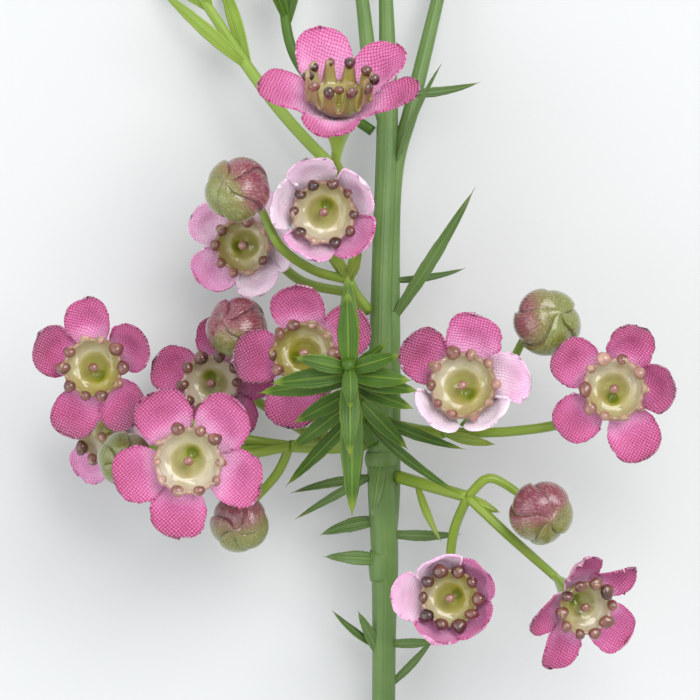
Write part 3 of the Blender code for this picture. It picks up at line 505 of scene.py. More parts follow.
def petal_half_width(v):
    """From the foot it follows a sine to the belly, then a blunt round end closes to nothing."""
    foot = RING_R * math.sin(math.pi / 5) / PETAL_HALF_WIDTH
    belly = foot + (1 - foot) * np.sin(math.pi / 2 * np.minimum(v / BELLY, 1)) ** 1.2
    end = np.clip((v - BELLY) / (1 - BELLY), 0, 1) ** 3.2
    return PETAL_HALF_WIDTH * belly * np.clip(1 - end, 0, 1) ** 0.44


def petal_middle(shape, v):
    """Radius, height and slope at v along the middle line, by adding up steps of its slope."""
    steps = np.linspace(0, 1, STEPS + 1)
    slope = math.radians(FIRST_SLOPE) + math.radians(shape["mid"] - FIRST_SLOPE) * smooth(steps, 0, BEND)
    slope += math.radians(shape["tip"] - shape["mid"]) * np.clip(steps - BEND, 0, 1) / (1 - BEND)
    stride = PETAL_LENGTH * shape["length"] / STEPS
    out = np.concatenate([[0], np.cumsum(np.cos(slope[:-1]))]) * stride + RING_R
    up = np.concatenate([[0], np.cumsum(np.sin(slope[:-1]))]) * stride
    return np.interp(v, steps, out), np.interp(v, steps, up), np.interp(v, steps, slope)


def petal_grid(shape, low, high, draw):
    """Points, flat places and tone of one petal, u across and v along, before the bloom is placed.

    low and high are the angles of the middle lines to its neighbours, which it stays between.
    The height across it is a parabola, less the dimple, plus two low waves."""
    v = np.concatenate([[0, 0], 1 - (1 - np.linspace(0.02, 1, ROWS - 2)) ** 1.15])[:, None]
    u = np.sin(np.linspace(-1, 1, COLUMNS) * math.pi / 2)[None, :]
    past_foot, outer = smooth(v, 0.12, 0.3), smooth(v, 0.3, 0.7)
    ragged = draw.uniform(-1, 1, (ROWS, COLUMNS)) * FRAY * (np.abs(u) > 0.999) * past_foot
    half = petal_half_width(v) * (1 + (shape["width"] - 1) * np.minimum(v * 3, 1)) + ragged
    radius, height, slope = petal_middle(shape, v)
    lean, sway = draw.uniform(-LEAN, LEAN), draw.uniform(-SWAY, SWAY)
    across = half * u * (1 + lean * u) + sway * v ** 2.5
    lift = shape["cup"] * across ** 2 * np.minimum(v * 2.5, 1)
    oval = np.sqrt((u / DIMPLE_WIDE) ** 2 + ((v - DIMPLE_V) / DIMPLE_LONG) ** 2)
    lift -= DIMPLE * (1 - smooth(oval, 0.15, 1.0)) * past_foot
    phase = draw.uniform(0, 2 * math.pi, 2)
    lift += EDGE_WAVE * u ** 2 * np.sin(5.2 * v + phase[0]) * outer
    lift += FACE_WAVE * np.sin(3.0 * u + 4.0 * v + phase[1]) * outer
    turn = math.radians(shape["twist"]) * v
    side = across * np.cos(turn) - lift * np.sin(turn)
    lift = across * np.sin(turn) + lift * np.cos(turn)
    middle = math.radians(shape["azimuth"] % 360)
    out = radius - np.sin(slope) * lift
    rooms = [out * math.tan(room) - CLEARANCE * np.abs(u) for room in (middle - low, high - middle)]
    side = np.clip(side, -rooms[0], rooms[1])
    bent = turned(places(out, side, height + np.cos(slope) * lift), middle)
    angle = low + (high - low) * (u + 1) / 2
    circle = np.where(np.arange(ROWS)[:, None] == 0, HOLE_R, RING_R)
    ring = places(circle * np.cos(angle), circle * np.sin(angle), 0.0)
    share = smooth(v, 0.0, 0.16)[..., None]
    points = ring * (1 - share) + bent * share
    flat = ring * (1 - share) + turned(places(RING_R + v * PETAL_LENGTH, across, 0.0), middle) * share
    edge = 1 - (1 - np.abs(u) ** 16) * (1 - np.clip(v, 0, 1) ** 30)
    # Painted shade: the middle of the pressed dimple gets slightly deeper dye.
    painted_dimple_shade = (1 - smooth(oval, 0.2, 1.0)) * past_foot
    dye = shape["dye"]
    tone = dye * (0.22 + 0.98 * smooth(v, -0.05, 1.05) + 0.08 * painted_dimple_shade)
    tone = tone + 0.50 * dye ** 1.5 * edge * smooth(v, 0.15, 0.5)
    return points, flat[..., :2], tone


def turned(points, angle):
    """Points turned round the bloom's axis."""
    c, s = math.cos(angle), math.sin(angle)
    return points @ np.array([[c, s, 0], [-s, c, 0], [0, 0, 1]])


def cloth_ring(name, one, draw):
    """All five petals of a bloom as one sheet of cloth, welded, and made thick by Solidify."""
    ordered = sorted(one["petals"], key=lambda shape: shape["azimuth"] % 360)
    turns = np.radians([shape["azimuth"] % 360 for shape in ordered])
    before = np.concatenate([[turns[-1] - 2 * math.pi], turns[:-1]])
    after = np.concatenate([turns[1:], [turns[0] + 2 * math.pi]])
    origin, axes = calyx_seat(one)
    origin = origin + axes[2] * (GAP + SOLID_CLOTH)
    work, flats = Patches(), []
    for shape, turn, last, following in zip(ordered, turns, before, after):
        points, flat, tone = petal_grid(shape, (last + turn) / 2, (turn + following) / 2, draw)
        points = (points * one["size"]) @ axes + origin
        work.add(points, sheet_faces(ROWS, COLUMNS), tone=tone, along=math.radians(one["weave"]))
        flats.append(flat.reshape(-1, 2))
    mesh = work.mesh("cloth_" + name)
    corners = np.empty(len(mesh.loops), np.int32)
    mesh.loops.foreach_get("vertex_index", corners)
    layer = mesh.uv_layers.new(name="flat")
    layer.data.foreach_set("uv", np.concatenate(flats)[corners].astype(np.float32).reshape(-1))
    welded = bmesh.new()
    welded.from_mesh(mesh)
    bmesh.ops.remove_doubles(welded, verts=welded.verts, dist=WELD * MM)
    welded.to_mesh(mesh)
    welded.free()
    piece = show("cloth_" + name, mesh, CLOTH, "petals_" + name)
    wall = piece.modifiers.new("thickness", "SOLIDIFY")
    wall.thickness = CLOTH_THICKNESS * MM
    wall.offset = -1
    wall.material_offset = 1
    wall.material_offset_rim = 2


draw = np.random.default_rng(11)
for name, one in BLOOMS.items():
    cloth_ring(name, one, draw)
print("cloth rings:", len(BLOOMS), "with", ROWS * COLUMNS * 5, "points each")

# %% [markdown]
# The cup is one glossy moulding of clear plastic, yellow-green in its depth and cream at the wall.
# Real clear walls would need light bent through each of them, which is slow and noisy at this size.
# A coated surface that lets a little light in looks nearly the same, with its colour read from how
# deep a point lies. A green pit is pressed beside the style. From the side the rim is a crown of
# rounded teeth, and each tooth ends in a mauve-brown bead, the anther. The cup is a turned profile
# whose rim rises and falls ten times on the way round, and the beads are small balls on the teeth.

# %% Glossy materials
# Colours of a clear and of a milky cup, by how far a point lies from the pit, up the wall and down
# its outside to the foot. The stops near 0.8 are the brown rim.
CLEAR = [(0.0, (0.131, 0.177, 0.003)), (0.16, (0.223, 0.231, 0.009)), (0.40, (0.339, 0.293, 0.054)),
         (0.60, (0.354, 0.293, 0.085)), (0.74, (0.308, 0.223, 0.085)), (0.82, (0.231, 0.123, 0.062)),
         (0.90, (0.208, 0.185, 0.023)), (1.0, (0.185, 0.177, 0.023))]
MILKY = [(0.0, (0.154, 0.208, 0.005)), (0.16, (0.277, 0.293, 0.039)), (0.40, (0.477, 0.439, 0.254)),
         (0.60, (0.616, 0.539, 0.462)), (0.74, (0.585, 0.462, 0.416)), (0.82, (0.4, 0.246, 0.208)),
         (0.90, (0.339, 0.293, 0.123)), (1.0, (0.308, 0.277, 0.108))]
BEAD = [(0.0, (0.038, 0.009, 0.005)), (0.45, (0.19, 0.064, 0.042)), (1.0, (0.52, 0.31, 0.23))]


def cup_material():
    """Glossy plastic: a clear and a milky ramp from pit to foot, mixed by the tone, with blotches."""
    made, tree, shader = new_material(
        "glossy_cup", Roughness=0.14, Coat_Weight=0.7, Coat_Roughness=0.05, Subsurface_Weight=0.4,
        Subsurface_Scale=1.4 * MM, Subsurface_Radius=(1.0, 0.9, 0.3), IOR=1.48)
    grain = use_group(tree, GRAIN, {"Scale": 1.0}).outputs
    depth = value_of(tree, "along")
    colour = mixed(tree, value_of(tree, "tone"), ramp(tree, depth, CLEAR), ramp(tree, depth, MILKY))
    colour = mixed(tree, between(tree, grain["Mottle"], 0.50, 0.70, 0.42), colour, (0.36, 0.25, 0.08, 1))
    lumps = maths(tree, "MULTIPLY_ADD", grain["Mottle"], 6.0, grain["Height"])
    wire_up(tree, shader, colour, lumps, 0.12)
    return made


def bead_material():
    """Glossy plastic from dark brown to pale mauve, by the tone and by patches of the grain."""
    made, tree, shader = new_material(
        "mauve_bead", Roughness=0.10, Coat_Weight=0.9, Coat_Roughness=0.03, Subsurface_Weight=0.2,
        Subsurface_Scale=0.8 * MM, IOR=1.5)
    grain = use_group(tree, GRAIN, {"Scale": 1.6}).outputs
    base = maths(tree, "SUBTRACT", value_of(tree, "tone"), 0.6)
    share = maths(tree, "MULTIPLY_ADD", grain["Mottle"], 1.2, base)
    wire_up(tree, shader, ramp(tree, share, BEAD), grain["Height"], 0.10)
    return made


CUP_FINISH = cup_material()
BEAD_FINISH = bead_material()
print("glossy finishes:", CUP_FINISH.name, "and", BEAD_FINISH.name)

# %% Cups with their beads
CUP_RIM_R = 4.7
TEETH = 10
CROWN = {"bloom_top": (2.3, 1.9)}    # how far its teeth rise and its notches sink
USUAL_CROWN = (0.45, 0.45)
PIT_OUT, PIT_DEPTH = 1.3, 0.45
MELT = 0.13                          # how far the rim wanders up and down
STYLE_R = 0.45                       # the pit leaves the style alone
INSIDE_ROW = 55                      # later rows of the profile face into the cup
BEAD_R = 0.98
STYLE_BEAD_R = 0.80
BEAD_TONE = {"bloom_top": 0.18, "bloom_pale_high": 0.12, "bloom_far_left": 0.26,
             "bloom_low_right": 0.18, "bloom_right": 0.58, "bloom_far_right": 0.56,
             "bloom_low_left": 0.54, "bloom_corner": 0.28}
USUAL_TONE = 0.38
CUP_ROWS, CUP_COLUMNS = 92, 120
WALL = np.array([                    # radius, height, and how far from the pit its colour is
    (0.0, -0.9, 1), (0.85, -0.9, 1), (0.85, 0.0, 1), (2.2, 0.0, 1), (3.2, 0.7, 1), (4.15, 1.9, 1),
    (4.65, 3.1, 0.95), (4.88, 3.8, 0.9), (4.85, 4.20, 0.85), (4.55, 4.32, 0.8), (4.25, 4.0, 0.72),
    (4.00, 3.2, 0.62), (3.65, 2.60, 0.55), (3.10, 2.25, 0.50), (2.55, 2.12, 0.45), (2.05, 1.75, 0.36),
    (1.5, 1.32, 0.30), (0.75, 1.10, 0.26), (0.40, 1.1, 0.3), (0.34, 1.6, 0.4), (0.34, 2.9, 0.45),
    (0.30, 3.3, 0.5), (0.12, 3.5, 0.5)])


def spread_curve(points, count):
    """Points at even steps along a Catmull-Rom curve through the given ones.

    Each stretch is a cubic of t from its own two points and the two beside them. Columns after the
    third are carried along with the places."""
    points = np.asarray(points, float)
    ends = np.concatenate([2 * points[:1] - points[1:2], points, 2 * points[-1:] - points[-2:-1]])
    place = np.linspace(0, len(points) - 1, (len(points) - 1) * 12 + 1)
    segment = np.minimum(place.astype(int), len(points) - 2)
    t = (place - segment)[:, None]
    a, b, c, d = (ends[segment + k] for k in range(4))
    bend, twist = 2 * a - 5 * b + 4 * c - d, 3 * b - a - 3 * c + d
    curve = 0.5 * (2 * b + (c - a) * t + bend * t ** 2 + twist * t ** 3)
    lengths = np.concatenate([[0], np.cumsum(np.linalg.norm(np.diff(curve[:, :3], axis=0), axis=1))])
    want = np.linspace(0, lengths[-1], count)
    return np.stack([np.interp(want, lengths, curve[:, k]) for k in range(curve.shape[1])], axis=1)


def glossy_cup(name, one, draw):
    """The turned cup: the rim's height follows the cosine of ten times the angle, less the pit."""
    profile = spread_curve(WALL, CUP_ROWS)
    rise, notch = CROWN.get(name, USUAL_CROWN)
    tall = name in CROWN
    angle = around(CUP_COLUMNS)[None, :]
    radius = np.repeat(np.maximum(profile[:, :1], 0.0), CUP_COLUMNS, axis=1)
    height = np.repeat(profile[:, 1:2], CUP_COLUMNS, axis=1)
    nearest = np.rint(angle * TEETH / (2 * math.pi)).astype(int) % TEETH
    uneven = draw.uniform(0.75, 1.15, TEETH)[nearest]
    tooth = smooth(0.5 + 0.5 * np.cos(TEETH * angle), 0.05, 0.75 if tall else 1.0) * uneven
    near_rim = smooth(height, 1.7 if tall else 2.9, 4.3) * smooth(radius, 3.3, 4.0)
    height = height + near_rim * (rise * tooth - notch * (1 - tooth))
    radius = radius + near_rim * ((0.05 if tall else 0.30) * tooth - 0.18)
    melt = np.sin(3 * angle + 5 * draw.random()) + np.sin(7 * angle + 6 * draw.random())
    height = height + MELT * melt * smooth(radius, 2.3, 3.6)
    radius = radius * (1 + 0.02 * np.sin(3 * angle + one["pit"]) * smooth(radius, 1.5, 3.0))
    x, y = radius * np.cos(angle), radius * np.sin(angle)
    pit = math.radians(one["pit"])
    off = np.hypot(x - PIT_OUT * math.cos(pit), y - PIT_OUT * math.sin(pit))
    inside = (np.arange(CUP_ROWS) > INSIDE_ROW)[:, None] & (radius > STYLE_R)
    height = height - PIT_DEPTH * (1 - smooth(off, 0.3, 1.1)) * inside
    value = np.where(inside, profile[:, 2:3] * smooth(off, 0.2, 1.7), profile[:, 2:3])
    away = np.cos(angle - pit - math.pi) * smooth(radius, 0.5, 3.0)
    seat, axes = cup_seat(one)
    work = Patches()
    work.add_tube(places(x * one["size"], y * one["size"], height) @ axes + seat, along=value,
                  tone=np.clip(one["cream"] + 0.30 * away, 0, 1))
    show("glossy_cup_" + name, work.mesh("glossy_cup_" + name), [CUP_FINISH], "cup_" + name)


def ball(radius, rows=10, columns=14):
    """A ball as rings from pole to pole: sine and cosine of latitude and longitude."""
    latitude = np.linspace(0.12, math.pi - 0.12, rows)[:, None]
    longitude = around(columns)[None, :]
    return radius * places(np.sin(latitude) * np.cos(longitude), np.sin(latitude) * np.sin(longitude),
                           np.cos(latitude))


def beads(name, one, draw):
    """The anthers on the teeth and the stigma on the style, each a little squashed and set askew."""
    seat, axes = cup_seat(one)
    rise = CROWN.get(name, USUAL_CROWN)[0]
    lifted, share = (0.85 * rise - 0.55, 0.85) if name in CROWN else (0.12, 1.0)
    work = Patches()
    for k in range(TEETH):
        lost = k in one["missing"]
        size = BEAD_R * (0.62 if lost else draw.uniform(0.78, 1.12)) * share
        angle = 2 * math.pi * k / TEETH + draw.uniform(-0.07, 0.07)
        reach = (CUP_RIM_R + draw.uniform(-0.35, 0.15)) * one["size"]
        up = CUP_HEIGHT + lifted + draw.uniform(-0.3, 0.1)
        lump = ball(size, 14, 20) * draw.uniform(0.82, 1.2, 3)
        lump = lump * (1 + 0.08 * np.sin(lump[..., :1] * 3.1 + k) * np.cos(lump[..., 1:2] * 2.7 + k))
        tone = 0.85 if lost else BEAD_TONE.get(name, USUAL_TONE) + draw.uniform(-0.16, 0.16)
        place = np.array([reach * math.cos(angle), reach * math.sin(angle), up])
        work.add_tube((lump + place) @ axes + seat, tone=tone)
    stigma = ball(STYLE_BEAD_R) * np.array([1.0, 0.92, 0.8]) + np.array([0, 0, 3.3])
    work.add_tube(stigma @ axes + seat, tone=0.55)
    show("beads_" + name, work.mesh("beads_" + name), [BEAD_FINISH], "cup_" + name)


for name, one in BLOOMS.items():
    glossy_cup(name, one, draw)
    beads(name, one, draw)
print("cups:", len(BLOOMS), "with", TEETH, "teeth each")

# %% [markdown]
# A bud is a bloom that has not opened: overlapping lobes wrap round and meet in a point, and fine
# pleats run up each lobe. On a ball given by longitude and latitude, a saw-tooth wave of the
# longitude raises one edge of every lobe over the next, and shifting the wave with the latitude
# winds the lobes into a spiral. The pleats are a faster and much smaller sine of the same angle.

# %% Buds
BUD_R = 4.9
BUD_FOLDS = 5
BUD_PLEATS = 52
BUD_ROWS, BUD_COLUMNS = 84, 250
CORE = 0.89                          # share of the radius that lies under the lobes
LAP, SWELL = 0.085, 0.075            # shares that a lobe's edge and its middle stand up
PLEAT_DEPTH = 0.06
BUD_TOP, BUD_BOTTOM = 0.90, 0.94     # a bud is a little flatter than a ball
BUDS = {                             # place, facing, size, slot, plum share and its side in degrees
    "bud_high": ((-16.9, 24.1, 34), (-0.40, 0.30, 0.86), 1.02, "plum", 0.44, 25.0),
    "bud_right": ((29.6, 4.2, 27), (0.42, 0.34, 0.84), 1.06, "olive", 0.12, 180.0),
    "bud_low_right": ((28.7, -24.4, 28), (0.34, -0.30, 0.88), 1.0, "mixed", 0.50, 118.0),
    "bud_behind": ((-17.0, 3.4, 19.4), (-0.50, 0.30, 0.80), 0.98, "plum", 0.85, 90.0),
    "bud_green_left": ((-33.8, -16.3, 23.4), (-0.30, -0.20, 0.93), 0.86, "olive", 0.10, 0.0),
    "bud_low_left": ((-16.6, -26.0, 21), (-0.15, -0.30, 0.94), 0.92, "mixed", 0.45, 100.0),
}
PLUM = [(0.10, (0.15, 0.170, 0.020)), (0.42, (0.165, 0.130, 0.028)), (0.62, (0.20, 0.044, 0.058)),
        (0.95, (0.175, 0.020, 0.048))]


def bud_material():
    """Wet-looking plastic from olive to plum, with pale streaks up the lobes, partly a painted highlight on
    their raised ridges, and painted shade darkening the creases.
    """
    made, tree, shader = new_material(
        "folded_bud", Roughness=0.15, Coat_Weight=1.0, Coat_Roughness=0.06, Subsurface_Weight=0.12,
        Subsurface_Scale=1.0 * MM, IOR=1.47)
    grain = use_group(tree, GRAIN, {"Scale": 0.9}).outputs
    round_it = {0: value_of(tree, "across"), 1: value_of(tree, "turn")}
    direction = add_node(tree, "ShaderNodeCombineXYZ", round_it).outputs[0]
    streak_and_highlight = noise(tree, direction, 16.0, 1.0).outputs["Fac"]
    base = maths(tree, "SUBTRACT", value_of(tree, "tone"), 0.3)
    colour = ramp(tree, maths(tree, "MULTIPLY_ADD", grain["Mottle"], 0.6, base), PLUM)
    # The pale streaks are partly the plastic's own striae and partly a painted highlight where the streaks
    # are raised.
    colour = mixed(tree, between(tree, streak_and_highlight, 0.48, 0.72, 0.20), colour, (0.60, 0.50, 0.30, 1))
    # Painted shade: the creases between lobes are darkened.
    colour = mixed(tree, value_of(tree, "along"), colour, (0.045, 0.028, 0.014, 1))
    ripple = maths(tree, "MULTIPLY", grain["Height"], 0.3)
    wire_up(tree, shader, colour, maths(tree, "MULTIPLY_ADD", streak_and_highlight, 1.2, ripple), 0.12)
    return made


BUD_FINISH = bud_material()


def folded_bud(name, place, facing, size, tint, plum, side):
    """A ball whose radius follows a saw-tooth of longitude plus latitude, with pleats and a peak."""
    latitude = np.linspace(0.004, math.pi - 0.004, BUD_ROWS)[:, None]
    longitude = around(BUD_COLUMNS)[None, :]
    wind = longitude + 0.55 * np.sin(1.3 * latitude + size * 9)
    lobe = wind * BUD_FOLDS / (2 * math.pi)
    fold = lobe % 1.0
    lap = (1 - fold) ** 1.3 * smooth(fold, 0.0, 0.07)
    swell = np.sin(math.pi * fold) ** 0.7
    wobble = 0.8 * np.sin(2.3 * latitude + 2.1 * np.floor(lobe % BUD_FOLDS))
    pleats = np.abs(np.sin(BUD_PLEATS / 2 * wind + wobble)) * np.sin(latitude) ** 0.8
    folded = smooth(latitude, 0.0, 0.45) * (1 - 0.7 * smooth(latitude, 2.1, 2.9))
    radius = BUD_R * size * (CORE + (LAP * lap + SWELL * swell) * folded)
    radius = radius - PLEAT_DEPTH * (1 - pleats) * smooth(latitude, 0.15, 0.6)
    squash = np.where(latitude < math.pi / 2, BUD_TOP, BUD_BOTTOM)
    pucker = 0.35 * np.exp(-(latitude / 0.14) ** 2) - 0.30 * np.exp(-((latitude - 0.36) / 0.2) ** 2)
    out = radius * np.sin(latitude)
    local = places(out * np.cos(longitude), out * np.sin(longitude),
                   radius * np.cos(latitude) * squash + pucker)
    # Painted shade: this value darkens the colour where one lobe's edge folds over the next.
    painted_crease_shade = (1 - smooth(np.minimum(fold, 1 - fold), 0.0, 0.06)) * 0.6 * folded
    tone = plum + 0.62 * np.cos(longitude - math.radians(side)) * np.sin(latitude) - 0.10 * lap
    work = Patches()
    work.add_tube(local @ axes_of(facing) + seen(place), along=painted_crease_shade, tone=tone,
                  across=np.cos(wind) * np.sin(latitude), turn=np.sin(wind) * np.sin(latitude))
    show("folded_" + name, work.mesh("folded_" + name), [BUD_FINISH], name)


for name, row in BUDS.items():
    folded_bud(name, *row)
print("buds:", len(BUDS), "with", BUD_FOLDS, "lobes each")

# %% [markdown]
# Leaves, twigs and the thick stem are soft moulded plastic. A leaf is a narrow blade, keeled below,
# with a pale raised rib along its middle, pale edges and a pale sharp tip. All leaves of a shoot
# are one array: a loop of points round the blade's section, scaled by the outline and carried from
# foot to tip along a low arch. Stalks are round sections carried along a smooth curve.

# %% Green materials
def green(name, body, dark, light, roughness, coat):
    """Moulded green: darker and lighter patches, a pale rib and edges, and a pale tip."""
    made, tree, shader = new_material(
        name, Roughness=roughness, Coat_Weight=coat, Coat_Roughness=0.25, Subsurface_Weight=0.08,
        Subsurface_Scale=0.8 * MM, Specular_IOR_Level=0.28)
    grain = use_group(tree, GRAIN, {"Scale": 0.8}).outputs
    across, along = value_of(tree, "across"), value_of(tree, "along")
    off = maths(tree, "ABSOLUTE", across)
    rib, edge = between(tree, off, 0.14, 0.04), between(tree, off, 0.80, 0.98)
    lines = maths(tree, "MULTIPLY_ADD", rib, 0.20, maths(tree, "MULTIPLY", edge, 0.22))
    tip = between(tree, along, 0.80, 0.98, 0.8, "SMOOTHSTEP")
    paler = maths(tree, "MAXIMUM", tip, value_of(tree, "tone"))
    colour = mixed(tree, grain["Mottle"], (*dark, 1), (*body, 1))
    for share in (lines, paler):
        colour = mixed(tree, share, colour, (*light, 1))
    veins = maths(tree, "SINE", maths(tree, "MULTIPLY", across, 20.0))
    wire_up(tree, shader, colour, maths(tree, "MULTIPLY_ADD", veins, 0.40, grain["Height"]), 0.10)
    return made


LEAF_GREEN = green("leaf_green", (0.080, 0.175, 0.008), (0.018, 0.058, 0.003), (0.36, 0.48, 0.06), 0.30, 0.12)
YOUNG_GREEN = green("young_leaf_green", (0.29, 0.41, 0.06), (0.17, 0.28, 0.03), (0.44, 0.54, 0.12), 0.4, 0.2)
TWIG_GREEN = green("twig_green", (0.26, 0.36, 0.035), (0.13, 0.22, 0.015), (0.44, 0.52, 0.11), 0.32, 0.35)
STEM_GREEN = green("stem_green", (0.150, 0.245, 0.065), (0.065, 0.135, 0.030), (0.30, 0.40, 0.15), 0.42, 0.2)
print("greens:", [made.name for made in (LEAF_GREEN, YOUNG_GREEN, TWIG_GREEN, STEM_GREEN)])

# %% Leaves
LEAF_THICKNESS = 0.8
SERRATION = 0.09                     # depth of the saw-teeth of a leaf's edge, as a share of its width
LEAF_ROWS = 30
SECTION = np.array([                 # a blade's section: the rib above, the keel below
    (1.0, 0.10), (0.82, 0.42), (0.55, 0.30), (0.28, 0.34), (0.10, 0.62), (0.0, 0.72), (-0.10, 0.62),
    (-0.28, 0.34), (-0.55, 0.30), (-0.82, 0.42), (-1.0, 0.10), (-0.72, -0.45), (-0.34, -0.80), (0.0, -1.0),
    (0.34, -0.80), (0.72, -0.45)])


def leaf_outline(t):
    """Half width as a share of the widest: a narrow foot, a long belly, a blunt end, a fine point."""
    swell = 0.46 + 0.54 * np.sin(math.pi / 2 * np.minimum(t / 0.42, 1))
    body = np.clip((0.94 - t) / 0.44, 0, 1) ** 0.55
    point = 0.16 * np.clip(1 - t, 0, 1) / 0.12
    return swell * np.maximum(np.minimum(body, 1), np.minimum(point, 0.16))


def add_leaves(work, feet, tips, widths, arches, rolls, tone=0.0):
    """Blades from feet to tips: section times outline, on a parabola that rises by arch half way.

    No leaf may point straight up, because its side is square to its own way and to the vertical."""
    feet, tips = np.asarray(feet, float), np.asarray(tips, float)
    reach = tips - feet
    length = np.linalg.norm(reach, axis=1, keepdims=True)
    along = reach / length
    side = unit(np.cross(along, [0.0, 0.0, 1.0]))
    roll = np.radians(np.asarray(rolls, float))[:, None]
    side = side * np.cos(roll) + np.cross(along, side) * np.sin(roll)
    up = np.cross(side, along)
    t = 1 - (1 - np.linspace(0, 0.995, LEAF_ROWS)) ** 1.3
    shape = leaf_outline(t)
    saw = 1 + SERRATION * ((length * t * 1.3) % 1.0 - 0.5)
    half = np.asarray(widths, float)[:, None] / 2 * shape * saw
    thick = LEAF_THICKNESS / 2 * shape ** 0.5
    rise = np.asarray(arches, float)[:, None] * 4 * t * (1 - t)
    middle = feet[:, None] + along[:, None] * (length * t)[..., None] + up[:, None] * rise[..., None]
    rings = (middle[:, :, None] + side[:, None, None] * (half[..., None] * SECTION[:, 0])[..., None]
             + up[:, None, None] * (thick[:, None] * SECTION[:, 1])[None, ..., None])
    for blade in rings:
        work.add_tube(blade, along=t[:, None], across=SECTION[:, 0], tone=tone)


def add_table(work, table, tone=0.0):
    """Leaves from rows (foot, tip, width, arch, roll), foot and tip as seen."""
    feet, tips, widths, arches, rolls = zip(*table)
    add_leaves(work, seen(feet), seen(tips), widths, arches, rolls, tone)


print("a leaf has", LEAF_ROWS * len(SECTION) + 2, "points")

# %% Stalks
RING_STEP = 0.8                      # from one ring of a stalk to the next


def carried(path, radii, squeeze):
    """Rings round a path. Each ring's axes are the last ones turned as little as the path allows.

    squeeze is the radius round a ring, as a share of the path's radius there."""
    tangent = unit(np.gradient(path, axis=0))
    sides = [unit(np.cross(tangent[0], [0.31, 0.12, 0.94]))]
    for step in tangent[1:]:
        sides.append(unit(sides[-1] - step * sides[-1].dot(step)))
    across = np.array(sides)
    up = np.cross(across, tangent)
    angle = around(len(squeeze))
    radius = radii[:, None] * squeeze
    return (path[:, None] + across[:, None] * (radius * np.cos(angle))[..., None]
            + up[:, None] * (radius * np.sin(angle))[..., None])


def add_stalk(work, points, radii, sides=18, count=None, ridges=0.0):
    """A round stalk through points, its radius as smooth as its path, with five shallow ridges."""
    points = np.asarray(points, float)
    length = np.linalg.norm(np.diff(points, axis=0), axis=1).sum()
    curve = spread_curve(np.column_stack([points, radii]), count or max(8, int(length / RING_STEP)))
    angle = around(sides)
    rings = carried(curve[:, :3], curve[:, 3], 1 + ridges * np.cos(5 * angle))
    work.add_tube(rings, across=0.3 + 0.3 * np.abs(np.cos(2.5 * angle)))


# %% [markdown]
# The twigs branch like a child's drawing of a tree: a short root from the stem, a node, and from
# the node one stalk to every bloom and bud. Under each bloom the stalk opens into the calyx, a
# smooth green trumpet. Each stalk's route is a short list of places, the same that the solids use.

